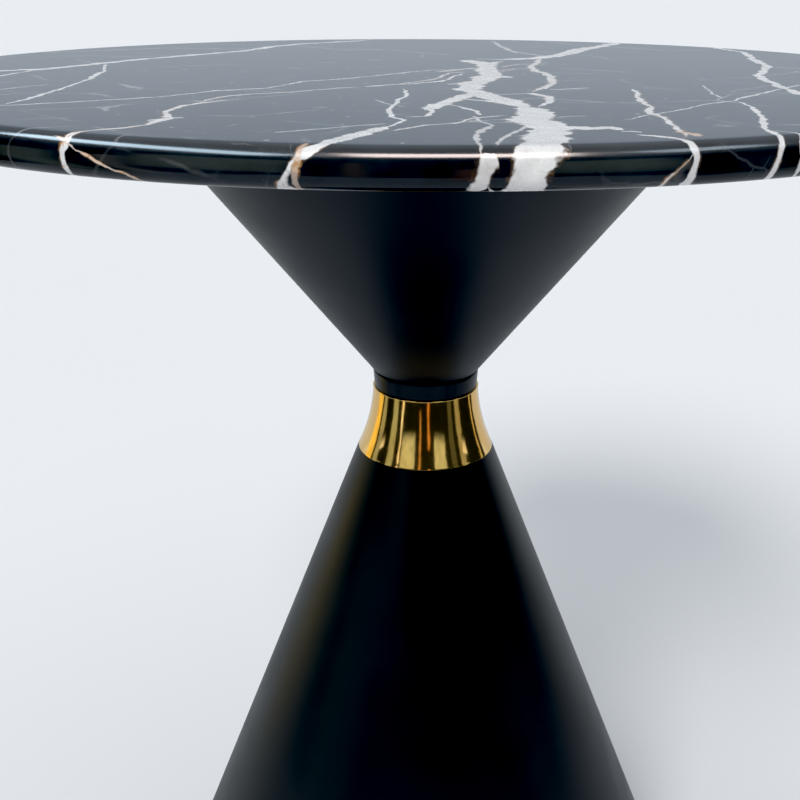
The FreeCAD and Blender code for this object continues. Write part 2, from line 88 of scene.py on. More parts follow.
class StoneLook(bpy.types.PropertyGroup):
    """Colours and figure of the polished stone."""

    ground: colour_setting("Ground", "Darkest colour between the veins", (0.0016, 0.0030, 0.0040))
    cloud: colour_setting("Cloud", "Blue-grey clouds in the ground", (0.010, 0.015, 0.019))
    vein: colour_setting("Vein", "Calcite white of the veins", (0.80, 0.79, 0.78))
    stain: colour_setting("Stain", "Gold-brown iron stain along some veins", (0.42, 0.22, 0.08))
    round_edge: length_setting("Edge round", "Radius of the two quarter rounds of the rim", 8 * MM)


class MetalLook(bpy.types.PropertyGroup):
    """Colours of the painted and plated metal."""

    paint: colour_setting("Paint", "Satin black of both cones", (0.0022, 0.0030, 0.0036))
    lacquer: colour_setting("Lacquer", "Deep black of the neck ring", (0.0016, 0.0022, 0.0028))
    gold: colour_setting("Gold", "Polished collar", (0.86, 0.60, 0.24))
    zinc: colour_setting("Zinc", "Plated screws, nuts and washers", (0.60, 0.61, 0.63))


class ThreadSizes(bpy.types.PropertyGroup):
    """Pitches of the screw threads."""

    foot_pitch: length_setting("Foot thread pitch", "Rise of a levelling foot in one turn", 1.5 * MM)
    rod_pitch: length_setting("Rod thread pitch", "Pitch of the tie rod's threaded ends", 1.75 * MM)
    screw_pitch: length_setting("Screw thread pitch", "Pitch of the plate and ballast screws", 1.0 * MM)


class StageLook(bpy.types.PropertyGroup):
    """Camera, floor and lights."""

    camera_distance: length_setting("Camera distance", "From the table's axis, forwards", 0.772)
    camera_height: length_setting("Camera height", "Above the floor", 0.813)
    camera_pitch: angle_setting("Camera pitch", "Downwards from level", math.radians(21.4))
    camera_roll: angle_setting("Camera roll", "Turned about its own axis", 0.004)
    lens: bpy.props.FloatProperty(
        name="Lens", description="Focal length in millimetres", default=49.5
    )
    floor: colour_setting("Floor", "Pale floor", (0.765, 0.77, 0.78))
    sky: colour_setting("Room light", "Colour of the light from all round", (0.92, 0.96, 1.0))


LOOKS = {
    "pedestal_stone": StoneLook,
    "pedestal_metal": MetalLook,
    "pedestal_threads": ThreadSizes,
    "pedestal_stage": StageLook,
}


# ---------------------------------------------------------------- mesh tools


def low(node):
    """Height of a CAD node's underside."""
    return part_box(node)[0].z


def high(node):
    """Height of a CAD node's top."""
    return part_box(node)[1].z


def reach(node):
    """Outer radius of a CAD node turned about the table's axis."""
    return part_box(node)[1].x


def middle(node):
    """Centre of a CAD node, seen from above."""
    lowest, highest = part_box(node)
    return (lowest.x + highest.x) / 2, (lowest.y + highest.y) / 2


def rounded(corners, steps=6):
    """Closed outline whose (radius, height, rounding) corners become arcs.

    A point is held on each side of an arc, so that shading stays flat beyond it.
    """
    outline = []
    for n, (r, z, rounding) in enumerate(corners):
        here = Vector((r, z))
        if not rounding:
            outline.append((r, z))
            continue
        before = Vector(corners[n - 1][:2]) - here
        after = Vector(corners[(n + 1) % len(corners)][:2]) - here
        to_before, to_after = before.normalized(), after.normalized()
        half = to_before.angle(to_after) / 2
        reach_back = rounding / math.tan(half)
        centre = here + (to_before + to_after).normalized() * rounding / math.sin(half)
        start, end = here + to_before * reach_back, here + to_after * reach_back
        held = 1.5 * reach_back
        if held < before.length / 2:
            outline.append(tuple(here + to_before * held))
        first, last = start - centre, end - centre
        sweep = first.angle_signed(last)
        for step in range(steps + 1):
            spoke = first.copy()
            spoke.rotate(Matrix.Rotation(-sweep * step / steps, 2))
            outline.append(tuple(centre + spoke))
        if held < after.length / 2:
            outline.append(tuple(here + to_after * held))
    return outline


def turned_mesh(outline, segments=LARGE_ROUND, centre=(0, 0), opening=0.0):
    """Closed solid turned from an outline of (radius, height); a radius may be a function of the angle.

    opening is the angle left out of the turn, whose two ends are then capped.
    """
    mesh = bmesh.new()
    turn = 2 * math.pi - opening
    count = segments + 1 if opening else segments
    angles = [opening / 2 + turn * n / segments for n in range(count)]
    rings = []
    for radius, height in outline:
        if radius == 0:
            rings.append([mesh.verts.new((centre[0], centre[1], height))])
            continue
        ring = []
        for angle in angles:
            spoke = radius(angle) if callable(radius) else radius
            ring.append(
                mesh.verts.new(
                    (
                        centre[0] + spoke * math.cos(angle),
                        centre[1] + spoke * math.sin(angle),
                        height,
                    )
                )
            )
        rings.append(ring)
    for here, there in zip(rings, rings[1:] + rings[:1]):
        if len(here) == len(there) == 1:
            continue
        for n in range(segments):
            after = n + 1 if opening else (n + 1) % segments
            corners = [here[n % len(here)], there[n % len(there)]]
            if len(there) > 1:
                corners.append(there[after])
            if len(here) > 1:
                corners.append(here[after])
            mesh.faces.new(corners)
    if opening:
        mesh.faces.new([ring[0] for ring in rings])
        mesh.faces.new([ring[-1] for ring in rings])
    bmesh.ops.recalc_face_normals(mesh, faces=mesh.faces)
    return mesh


def gathered(meshes):
    """Several meshes as one."""
    whole = bmesh.new()
    for mesh in meshes:
        part = bpy.data.meshes.new("gathered")
        mesh.to_mesh(part)
        mesh.free()
        whole.from_mesh(part)
        bpy.data.meshes.remove(part)
    return whole


def piece(name, meshes, finish, body, slot, *replaced):
    """One object from several meshes: painted, riding on a body and standing for its CAD nodes."""
    data = bpy.data.meshes.new(name)
    whole = gathered(meshes)
    whole.to_mesh(data)
    whole.free()
    data.shade_smooth()
    data.set_sharp_from_angle(angle=SHARP_EDGE)
    made = bpy.data.objects.new(name, data)
    bpy.context.scene.collection.objects.link(made)
    data.materials.append(finish)
    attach(made, body)
    if replaced:
        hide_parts(*replaced)
    return made


def cut(made, mesh):
    """Takes a closed mesh away from a piece."""
    data = bpy.data.meshes.new("cutter")
    mesh.to_mesh(data)
    mesh.free()
    cutter = bpy.data.objects.new("cutter", data)
    bpy.context.scene.collection.objects.link(cutter)
    drill = made.modifiers.new("drill", "BOOLEAN")
    drill.operation = "DIFFERENCE"
    drill.solver = "EXACT"
    drill.object = cutter
    bpy.context.view_layer.update()
    whole = made.data
    drilled = bpy.data.meshes.new_from_object(
        made.evaluated_get(bpy.context.evaluated_depsgraph_get())
    )
    made.modifiers.clear()
    made.data = drilled
    drilled.name = made.name
    bpy.data.meshes.remove(whole)
    bpy.data.objects.remove(cutter)
    bpy.data.meshes.remove(data)
    drilled.shade_smooth()
    drilled.set_sharp_from_angle(angle=SHARP_EDGE)


def round_the_axis(radius, count, first=0.0):
    """Centres on a circle about the table's axis."""
    return [
        (
            radius * math.cos(first + 2 * math.pi * n / count),
            radius * math.sin(first + 2 * math.pi * n / count),
        )
        for n in range(count)
    ]


def hexagon(flats):
    """Radius at each angle of a hexagon, across its flats."""
    sector = math.pi / 3

    def radius(angle):
        return flats / 2 / math.cos(angle % sector - sector / 2)

    return radius


def hex_under_cone(flats, cone):
    """Radius of a hexagon whose corners are turned down to a cone's radius."""
    shape = hexagon(flats)
    return lambda angle: min(shape(angle), cone)


def thread(radius, pitch, height, depth):
    """Radius at each angle of a right-hand screw thread, at one height."""

    def at(angle):
        phase = (height / pitch - angle / (2 * math.pi)) % 1
        return radius - depth * abs(2 * phase - 1)

    return at


THREAD_ROWS = 8  # rings in one pitch
THREAD_DEPTH = 0.61  # of the pitch
THREAD_GAP = 0.05 * MM  # between a nut's thread and the screw in it


def thread_heights(pitch, bottom, top):
    steps = max(2, round((top - bottom) / pitch * THREAD_ROWS))
    return [bottom + (top - bottom) * n / steps for n in range(steps + 1)]


def threaded(radius, pitch, bottom, top):
    """Outline rows of a screw thread between two heights, from the lower end upwards."""
    rows = []
    for height in thread_heights(pitch, bottom, top):
        run_out = min(1, (height - bottom) / pitch, (top - height) / pitch)
        depth = THREAD_DEPTH * pitch * max(0, run_out)
        rows.append((thread(radius, pitch, height, depth), height))
    return rows


# ---------------------------------------------------------------- shader tools


class Value:
    """One output of a finish's nodes. Arithmetic on it adds the Math nodes that work it out."""

    def __init__(self, finish, socket):
        self.finish = finish
        self.socket = socket

    def maths(self, operation, *numbers):
        return self.finish.node("ShaderNodeMath", {"operation": operation}, dict(enumerate(numbers)))

    def __add__(self, other):
        return self.maths("ADD", self, other)

    __radd__ = __add__

    def __sub__(self, other):
        return self.maths("SUBTRACT", self, other)

    def __rsub__(self, other):
        return self.maths("SUBTRACT", other, self)

    def __mul__(self, other):
        return self.maths("MULTIPLY", self, other)

    __rmul__ = __mul__

    def __truediv__(self, other):
        return self.maths("DIVIDE", self, other)

    def __pow__(self, other):
        return self.maths("POWER", self, other)

    def __abs__(self):
        return self.maths("ABSOLUTE", self)

    def most(self, other):
        return self.maths("MAXIMUM", self, other)

    def share(self, width):
        """Grows from 0 to 1 as the value grows from 0 to width.

        A Clamp node of its own keeps the renderer's store of waiting values small, which a Math
        node's own clamp doesn't.
        """
        return self.finish.node("ShaderNodeClamp", inputs={"Value": self * (1 / width)})

    def dot(self, direction):
        return self.finish.vector("DOT_PRODUCT", self, direction, output="Value")

    def moved(self, other):
        return self.finish.vector("ADD", self, other)

    def scaled(self, factor):
        return self.finish.node(
            "ShaderNodeVectorMath", {"operation": "SCALE"}, {0: self, "Scale": factor}
        )

    def stretched(self, factors):
        return self.finish.vector("MULTIPLY", self, factors)


class Nodes:
    """A node tree and the few ways of adding to it."""

    def __init__(self, tree):
        self.tree = tree

    def feed(self, socket, value):
        """Links a value to a socket, or sets the socket's own number, vector or colour."""
        if isinstance(value, Value):
            self.tree.links.new(value.socket, socket)
        elif socket.type == "RGBA" and len(value) == 3:
            socket.default_value = (*value, 1)
        else:
            socket.default_value = value

    def node(self, kind, settings=None, inputs=None, output=0):
        """Adds any node: its settings first, then its inputs by name or number."""
        made = self.tree.nodes.new(kind)
        for key, value in (settings or {}).items():
            if key == "curve":
                draw_curve(made.mapping, value)
            elif key == "stops":
                draw_ramp(made.color_ramp, value)
            else:
                setattr(made, key, value)
        for key, value in (inputs or {}).items():
            self.feed(made.inputs[key], value)
        return Value(self, made.outputs[output])

    def vector(self, operation, first, second, output=0):
        return self.node(
            "ShaderNodeVectorMath", {"operation": operation}, {0: first, 1: second}, output
        )

    def place(self):
        """Where a point of the piece is, in centimetres."""
        metres = self.node("ShaderNodeTexCoord", output="Object")
        return metres.scaled(100)

    def noise(self, place, size, detail=2.0, roughness=0.5, output=0):
        """Soft noise whose blobs are about size centimetres across."""
        return self.node(
            "ShaderNodeTexNoise",
            inputs={"Vector": place, "Scale": 1 / size, "Detail": detail, "Roughness": roughness},
            output=output,
        )

    def cells(self, place, size, feature="F1", output="Distance"):
        """Voronoi cells about size centimetres across."""
        return self.node(
            "ShaderNodeTexVoronoi", {"feature": feature}, {"Vector": place, "Scale": 1 / size}, output
        )

    def graded(self, value, start, end):
        """Smooth step from 0 at start to 1 at end."""
        return self.node(
            "ShaderNodeMapRange",
            {"interpolation_type": "SMOOTHSTEP"},
            {"Value": value, "From Min": start, "From Max": end},
        )

    def mixed(self, factor, first, second):
        """Colour between two others."""
        return self.node(
            "ShaderNodeMix", {"data_type": "RGBA"}, {0: factor, 6: first, 7: second}, output=2
        )


class Finish(Nodes):
    """A procedural material: a Principled shader and the nodes that vary it over the surface."""

    def __init__(self, name, **constants):
        self.material = bpy.data.materials.new(name)
        self.material.use_nodes = True
        super().__init__(self.material.node_tree)
        self.tree.nodes.clear()
        output = self.tree.nodes.new("ShaderNodeOutputMaterial")
        self.shader = self.tree.nodes.new("ShaderNodeBsdfPrincipled")
        self.tree.links.new(self.shader.outputs[0], output.inputs["Surface"])
        for socket, value in constants.items():
            self.shader.inputs[socket.replace("_", " ")].default_value = value

    def raised(self, height, distance, strength=1.0):
        """Feeds a bump into the shader's normal; distance is in metres."""
        bump = self.node(
            "ShaderNodeBump", inputs={"Height": height, "Distance": distance, "Strength": strength}
        )
        self.shade(Normal=bump)

    def shade(self, **values):
        for socket, value in values.items():
            self.feed(self.shader.inputs[socket.replace("_", " ")], value)


def draw_curve(mapping, points):
    """Straight-sided curve through (x, y) points, left to right."""
    line = mapping.curves[0].points
    while len(line) < len(points):
        line.new(0.5, 0.5)
    for spot, (x, y) in zip(line, points):
        spot.location = (x, y)
        spot.handle_type = "VECTOR"
    mapping.update()


def draw_ramp(ramp, stops):
    """Colour stops of (position, colour)."""
    while len(ramp.elements) < len(stops):
        ramp.elements.new(0.5)
    for element, (position, colour) in zip(ramp.elements, stops):
        element.position = position
        element.color = (*colour, 1)


# ---------------------------------------------------------------- finishes

SPREAD = 24.0  # width of the strip that one vein's route may use
PLAIN_ENDS = ((0, 0), (0.06, 0.8), (0.5, 1), (0.92, 0.8), (1, 0))

# Each vein: its route on the top (x to the right, y away from the front), half its width, how white
# it is, how stained, and how far it leans to one side for each centimetre of depth.
VEINS = (
    # the long vein along the left and back
    (((-34.5, -7), (-31, -6), (-28, -2.5), (-25.5, -1), (-23, 4), (-21, 8), (-19, 11),
      (-15, 17), (-13.5, 22), (-11.5, 26), (-6.5, 31), (-5, 34.5)), 0.48, 1.0, 0.15, 0.3),
    (((-33, -10), (-26.5, -6), (-26, -2), (-23.5, 2.5)), 0.24, 0.9, 0.3, 0.0),
    (((-22.5, 3.5), (-21, -3), (-20.5, -7.5), (-20.5, -13), (-20.5, -17.5), (-21, -22)),
      0.20, 1.0, 0.0, 0.2),
    (((-27.5, -17), (-25, -15), (-23.5, -14.5), (-22, -11)), 0.12, 0.7, 0.0, 0.0),
    (((-29.5, 10), (-26, 11), (-22, 10.5), (-19, 11.5)), 0.12, 0.6, 0.0, 0.0),
    # the long thin vein to the middle
    (((-26, -23.5), (-20, -21.5), (-16, -19), (-13.5, -17), (-11.5, -14.5), (-9, -13), (-7.5, -9),
      (-5.5, -7.5), (-3, -4.5), (0.5, -0.5), (2.5, 1)), 0.15, 0.95, 0.0, 0.3),
    # the gold-brown vein from the front edge
    (((-15.6, -34), (-15.1, -32.4), (-14.7, -31.4), (-13.9, -30.5), (-12.9, -29.7), (-12.2, -28.6),
      (-11.7, -26.5),
      (-12.2, -24), (-12, -21.5), (-11, -20), (-9.5, -18.5)), 0.24, 1.0, 0.9, 0.1),
    (((-15.4, -34.5), (-15.1, -32.5), (-15.3, -31)), 0.13, 0.8, 1.4, -2.0),
    (((-12.4, -27.2), (-11.8, -26.4), (-11, -26.2)), 0.16, 0.9, 0.3, 0.0),
    (((-11.5, -20), (-10.5, -17), (-9.5, -16), (-7, -14.5), (-4.5, -12.5), (-3.5, -12)),
      0.16, 0.9, 0.8, 0.0),
    (((-6, -9.5), (-4.5, -11), (-3.7, -12), (-2, -10.5), (-0.8, -10), (1, -8.3), (1.7, -5),
      (2.6, -2.8)),
     0.20, 1.0, 0.5, 0.0),
    (((-1.8, -10.3), (0.4, -7.2), (1.5, -3), (2.9, -1.5)), 0.16, 0.9, 0.7, 0.0),
    # the vein that meets the front edge left of the middle
    (((-5, -35), (-4.2, -34.3), (-3.6, -33), (-3, -32), (-2.2, -30.4), (-1.5, -29)),
      0.48, 1.0, 0.30, 0.75),
    (((-5.4, -35.6), (-5.0, -34.7), (-4.7, -34.0)), 0.15, 0.6, 1.5, 0.1),
    (((-1.7, -29.6), (-0.9, -27), (-1.5, -25.5), (-1.8, -23), (-1.5, -19), (-1, -16),
      (-1.3, -12.5)),
     0.17, 1.0, 0.0, 0.0),
    (((-1, -26), (0, -25.6), (0.3, -23.7), (0, -22), (0.2, -20.5), (1.3, -19.5)),
      0.16, 1.0, 0.4, 0.0),
    (((-6.5, -31), (-4.2, -29.5), (-1.6, -28)), 0.16, 0.55, 0.0, 0.0),
    (((-1.4, -30.5), (0, -28.5), (1.1, -28), (2, -26.3), (3.8, -25)), 0.14, 0.9, 0.3, 0.0),
    (((-1, -21.5), (-2, -20.5), (-2.6, -18.5)), 0.09, 0.8, 0.0, 0.0),
    # the wide white band, front to back
    (((4.1, -36.5), (4.4, -34.6), (4.8, -33.2), (5.0, -31.6), (5.2, -30), (4.9, -28), (4.8, -26.5),
      (5.1, -24.5),
      (5.1, -22.8), (4.7, -21)), 1.05, 1.0, 0.15, 0.42),
    (((5.0, -22.5), (4.4, -19.5), (3.5, -17), (2.6, -15), (2.3, -13.5), (2.7, -10), (3.6, -6.5),
      (4.2, -3),
      (4.1, 1), (4.1, 3.5), (4.6, 5.5), (5.6, 7.5)), 0.85, 1.0, 0.6, 0.0),
    (((2.7, 8.2), (3.4, 6.6), (4.3, 4.5), (4.4, 3)), 0.75, 1.0, 0.8, 0.0),
    (((5.3, -5.8), (4.4, -4.4), (3.9, -2.8)), 0.42, 1.0, 0.4, 0.0),
    (((2.9, -14.5), (2, -17.3), (1.1, -19.5), (0.4, -21.5), (-0.1, -23)), 0.50, 1.0, 0.7, 0.0),
    (((1.8, -15.2), (3.6, -15.8), (5.6, -15.2), (6.4, -16.8), (6.2, -19.5), (5.6, -21.5)),
      0.36, 1.0, 0.7, 0.0),
    (((1.2, -17.4), (2.8, -18.6), (4.2, -19.6), (5.3, -20.4)), 0.26, 1.0, 0.7, 0.0),
    (((0.9, -20.3), (2.2, -23.5), (2.4, -25)), 0.17, 1.0, 0.3, 0.0),
    (((2.1, -25.2), (2.3, -27), (2.8, -28.5), (2.3, -30), (1.9, -32), (2.1, -34), (2.0, -35.2)),
      0.17, 0.75, 0.1, 0.3),
    (((4.3, -28.5), (3.8, -30), (3.1, -32), (2.9, -33.5), (2.8, -34.4)), 0.17, 0.75, 0.1, 0.2),
    (((2.7, -34.78), (2.45, -35.2), (2.2, -36.2)), 0.62, 0.9, 0.15, -0.4),
    (((3.3, -34.7), (3.2, -35.2), (3.2, -36)), 0.22, 0.5, 0.3, 0.5),
    (((2.6, 9.5), (5.9, 9), (8.4, 10.4), (9.8, 12.5), (12.7, 19.5), (15.5, 25), (17.5, 29),
      (18, 30)),
     0.80, 1.0, 0.5, 0.0),
    (((8.5, 10), (8.2, 6.5), (7.2, 3), (7.4, -1.5), (7.9, -5), (7.2, -11), (5.8, -14.5)),
      0.30, 0.95, 0.85, 0.0),
    (((4.2, -1), (6, 0.5), (7.6, 1)), 0.24, 0.5, 0.95, 0.0),
    (((5.2, 2), (6.4, 4.5), (8, 5)), 0.20, 0.5, 0.9, 0.0),
    (((0.8, -2), (2.2, 0), (3.8, 1.8)), 0.30, 0.7, 1.0, 0.0),
    (((1.2, -10.2), (2.2, -9.8), (2.9, -8.6)), 0.24, 0.8, 0.6, 0.0),
    (((6, 31.5), (6.4, 24), (7.2, 17), (9.4, 12)), 0.26, 0.7, 0.2, 0.0),
    (((6.8, -13.2), (8, -12.8), (9.5, -12)), 0.15, 0.9, 0.3, 0.0),
    (((5.9, -25.6), (6.6, -25.2), (7.4, -25)), 0.10, 0.7, 0.3, 0.0),
    (((5.9, -28.9), (6.8, -29.3), (7.8, -28.9), (8.4, -29.6)), 0.55, 1.0, 0.0, 0.0),
    (((8.2, -30.2), (8.6, -30.1), (9.0, -30.5)), 0.16, 0.9, 0.0, 0.0),
    (((8.6, -31.2), (9.4, -31.6), (10.1, -32.4), (10.5, -33.3), (10.5, -34.2), (10.3, -36)),
      0.28, 1.0, 0.2, 0.0),
    (((10.7, -33.0), (10.4, -33.8), (10.3, -36)), 0.09, 0.8, 1.0, -0.7),
    # the right-hand veins
    (((11.7, -12.5), (11.4, -16), (10.9, -20.9), (10.6, -23.8), (10.9, -25.3), (10.8, -28),
      (10.6, -30.5),
      (10.4, -32)), 0.20, 1.0, 0.75, 0.0),
    (((10.4, -30.2), (10.9, -30.9), (11.0, -31.6)), 0.30, 1.0, 1.7, 0.0),
    (((8.6, -27), (10.4, -24.6), (12.3, -22.5), (14, -20), (15.8, -18.5), (18, -15.5), (20, -12.3),
      (24, -8), (29, -3), (33.5, 1)), 0.13, 0.9, 0.0, 0.2),
    (((16.2, -10), (15.7, -15), (15.6, -17.8)), 0.10, 0.8, 0.0, 0.0),
    (((16, -18.5), (15.9, -22.8), (15.2, -26.6), (14.6, -29.2), (14.5, -31), (14.3, -35)),
      0.17, 1.0, 0.2, -0.15),
    (((14.8, -29.6), (15.5, -30.6), (15.7, -34)), 0.12, 0.9, 0.1, 0.0),
    (((26.5, 26), (25.3, 22.7), (26, 18), (24.6, 8.5), (24, 3), (21.3, -3.4), (20.5, -11),
      (20.4, -15),
      (22, -19), (24.5, -22), (26, -25)), 0.36, 1.0, 0.1, 0.3),
    (((24, 3), (27, 1), (29.5, -2.5), (34.5, -5)), 0.16, 0.8, 0.2, 0.4),
    (((-33, 13), (-28, 16), (-22, 20), (-16, 19.5), (-13.5, 22)), 0.14, 0.7, 0.2, 0.3),
    (((10, 34), (13, 27), (20, 20), (25, 19)), 0.14, 0.6, 0.2, 0.3),
    (((-22, 27), (-16, 24.5), (-12, 25), (-8, 20), (-3, 19), (3, 12)), 0.12, 0.55, 0.1, 0.3),
)


def vein_masks(stone, place):
    """White and stain masks of all the veins, at a place in centimetres from the top's centre."""
    swell = stone.noise(place, 2.2, 2, 0.6) * 1.6 + 0.2
    fray = stone.noise(place, 0.7, 2, 0.6) - 0.5
    white = stain = 0.0
    for route, half_width, whiteness, stained, lean in VEINS:
        (x0, y0), (x1, y1) = route[0], route[-1]
        length = math.hypot(x1 - x0, y1 - y0)
        ax, ay = (x1 - x0) / length, (y1 - y0) / length
        steps = [
            (((x - x0) * ax + (y - y0) * ay) / length, 0.5 + ((y - y0) * ax - (x - x0) * ay) / SPREAD)
            for x, y in route
        ]
        along = place.dot((ax / length, ay / length, 0)) - (x0 * ax + y0 * ay) / length
        across = place.dot((-ay, ax, lean)) - (y0 * ax - x0 * ay - SPREAD / 2)
        wander = stone.node("ShaderNodeFloatCurve", {"curve": steps}, {"Value": along})
        width = stone.node("ShaderNodeFloatCurve", {"curve": PLAIN_ENDS}, {"Value": along})
        inside = width * swell * half_width - abs(across - wander * SPREAD) + fray * (0.8 * half_width)
        core = inside.share(0.05 + 0.10 * half_width) * whiteness
        white = core.most(white)
        if stained:
            halo = (inside + 0.08 + 0.08 * half_width).share(0.14) * stained
            stain = halo.most(stain)
    return white, stain


def veined_stone():
    """Polished black stone with white veins, stained gold-brown along some edges."""
    look = bpy.context.scene.pedestal_stone
    stone = Finish("veined_stone", IOR=1.5)
    top = Vector((0, 0, -100 * high("marble_top")))
    place = stone.place().moved(top)
    broad = stone.noise(place, 4.5, 2, 0.5, output=1).moved((-0.5, -0.5, -0.5)).scaled(0.9)
    fine = stone.noise(place, 0.9, 2, 0.55, output=1).moved((-0.5, -0.5, -0.5)).scaled(0.42)
    warped = place.moved(broad.moved(fine))
    white, stain = vein_masks(stone, warped)

    # hairline cracks that come and go, and small white flecks
    drift = stone.noise(place, 7, 3, 0.6)
    cracks = stone.cells(warped.stretched((0.8, 1.3, 1)), 6.5, "DISTANCE_TO_EDGE")
    hair = (0.016 - cracks).share(0.012) * stone.graded(drift, 0.46, 0.62) * 0.45
    small_cracks = stone.cells(warped.stretched((1.2, 0.7, 1)), 3.4, "DISTANCE_TO_EDGE")
    breaks = stone.graded(stone.noise(place, 2.1, 2, 0.5), 0.50, 0.60)
    wisp = (0.018 - small_cracks).share(0.016) * stone.graded(drift, 0.52, 0.36) * breaks * 0.34
    fleck_size = stone.cells(place, 0.9, output="Color")
    fleck_size = stone.node("ShaderNodeSeparateColor", inputs={0: fleck_size})
    fleck = (fleck_size * 0.9 - 0.72 - stone.cells(place, 0.9)).share(0.05) * 0.5
    on_top = stone.graded(place.dot((0, 0, 1)), -0.35, -0.05)
    faint = hair.most(wisp).most(fleck) * (0.15 + 0.85 * on_top)
    white = white.most(faint)

    cloud = stone.graded(stone.noise(warped, 3.2, 4, 0.6), 0.35, 0.75)
    milk = stone.graded(stone.noise(warped, 1.1, 3, 0.6), 0.2, 0.8)
    ground = stone.mixed(cloud, tuple(look.ground), tuple(look.cloud))
    calcite = stone.mixed(milk, tuple(0.74 * c for c in look.vein), tuple(look.vein))
    rust = stone.graded(stone.noise(warped, 0.8, 3, 0.65), 0.42, 0.62)
    stained = stone.mixed((rust * stain).share(1), ground, tuple(look.stain))
    deep = (stain - 1).share(0.6)
    calcite = stone.mixed(deep * 0.6, calcite, tuple(1.3 * c for c in look.stain))
    colour = stone.mixed(white, stained, calcite)
    seams = (0.06 - stone.cells(warped, 1.1, "DISTANCE_TO_EDGE")).share(0.05)
    colour = stone.mixed(seams * stain.share(1) * rust * 0.9, colour, tuple(look.stain))
    grain = stone.noise(place, 0.12, 2, 0.6)
    stone.shade(Base_Color=colour, Roughness=0.15 + 0.05 * grain + 0.10 * white)
    stone.raised(grain, 0.000004, 0.5)
    return stone.material


def paint(name, colour, roughness, peel):
    """Sprayed black: a faint orange peel, fine dust and patches of wear."""
    coat = Finish(name, IOR=1.43)
    place = coat.place()
    patches = coat.graded(coat.noise(place, 6, 3, 0.5), 0.35, 0.7)
    dust = coat.graded(coat.noise(place, 0.05, 2, 0.7), 0.66, 0.80)
    tint = coat.mixed(patches * 0.5, colour, tuple(1.5 * c for c in colour))
    coat.shade(
        Base_Color=coat.mixed(dust * 0.06, tint, (0.2, 0.22, 0.24)),
        Roughness=roughness + 0.05 * patches + 0.05 * dust,
    )
    coat.raised(coat.noise(place, 0.16, 2, 0.4), 0.00003, peel)
    return coat.material


def satin_black():
    return paint("satin_black", tuple(bpy.context.scene.pedestal_metal.paint), 0.36, 0.35)


def deep_lacquer():
    return paint("deep_lacquer", tuple(bpy.context.scene.pedestal_metal.lacquer), 0.22, 0.15)


def polished_gold():
    """Mirror polish with hair-fine spinning marks that run round the collar."""
    gold = Finish("polished_gold", Metallic=1.0, Anisotropic=0.45)
    place = gold.place()
    spun = gold.noise(place.stretched((0.3, 0.3, 14)), 0.6, 3, 0.7)
    cast = gold.graded(gold.noise(place, 3, 2, 0.5), 0.3, 0.7)
    colour = tuple(bpy.context.scene.pedestal_metal.gold)
    warm = (colour[0] * 0.97, colour[1] * 0.90, colour[2] * 0.80)
    gold.shade(Base_Color=gold.mixed(cast, colour, warm), Roughness=0.06 + 0.06 * spun)
    waviness = gold.noise(place.stretched((1, 1, 0.5)), 1.3, 2, 0.5)
    gold.raised(waviness + 0.02 * spun, 0.00016)
    return gold.material


def metal(name, colour, roughness, grain_size, mark, patch_tint=0.75):
    """Bare or plated metal with a mottled skin and fine working marks."""
    steel = Finish(name, Metallic=1.0)
    place = steel.place()
    mottle = steel.graded(steel.noise(place, 0.8, 3, 0.6), 0.3, 0.7)
    grain = steel.noise(place, grain_size, 3, 0.7)
    dull = tuple(patch_tint * c for c in colour)
    steel.shade(
        Base_Color=steel.mixed(mottle, colour, dull),
        Roughness=roughness + 0.12 * mottle + 0.08 * grain,
    )
    steel.raised(grain, mark, 0.6)
    return steel.material


def bright_zinc():
    return metal("bright_zinc", tuple(bpy.context.scene.pedestal_metal.zinc), 0.22, 0.03, 0.00001)


def rolled_steel():
    return metal("rolled_steel", (0.30, 0.30, 0.32), 0.38, 0.06, 0.00002, 0.6)


def turned_brass():
    return metal("turned_brass", (0.66, 0.47, 0.20), 0.28, 0.04, 0.00001)


def primed_iron():
    """Rough casting under grey primer."""
    iron = Finish("primed_iron", IOR=1.45)
    place = iron.place()
    skin = iron.noise(place, 0.25, 4, 0.7)
    pits = iron.graded(iron.cells(place, 0.35), 0.25, 0.05)
    rust = iron.graded(iron.noise(place, 1.4, 4, 0.7), 0.62, 0.72)
    primer = iron.mixed(skin, (0.07, 0.07, 0.075), (0.11, 0.11, 0.115))
    iron.shade(
        Base_Color=iron.mixed(rust * 0.6, primer, (0.12, 0.05, 0.025)), Roughness=0.6 + 0.3 * skin
    )
    iron.raised(skin - 0.6 * pits, 0.0004, 0.7)
    return iron.material


def matt_rubber():
    """Black rubber with a dry bloom and a fine tooth."""
    rubber = Finish("matt_rubber", IOR=1.5)
    place = rubber.place()
    bloom = rubber.graded(rubber.noise(place, 1.2, 3, 0.6), 0.4, 0.75)
    tooth = rubber.noise(place, 0.04, 2, 0.6)
    rubber.shade(
        Base_Color=rubber.mixed(bloom, (0.012, 0.012, 0.013), (0.035, 0.035, 0.037)),
        Roughness=0.72 + 0.15 * tooth,
    )
    rubber.raised(tooth, 0.00004, 0.6)
    return rubber.material


def moulded_plastic():
    """Black moulded plastic with a spark-eroded grain."""
    plastic = Finish("moulded_plastic", IOR=1.48)
    place = plastic.place()
    grain = plastic.cells(place, 0.06)
    scuff = plastic.graded(plastic.noise(place, 0.5, 4, 0.7), 0.55, 0.7)
    plastic.shade(
        Base_Color=plastic.mixed(scuff * 0.5, (0.018, 0.018, 0.019), (0.05, 0.05, 0.052)),
        Roughness=0.45 + 0.2 * grain + 0.1 * scuff,
    )
    plastic.raised(grain, 0.00005, 0.5)
    return plastic.material


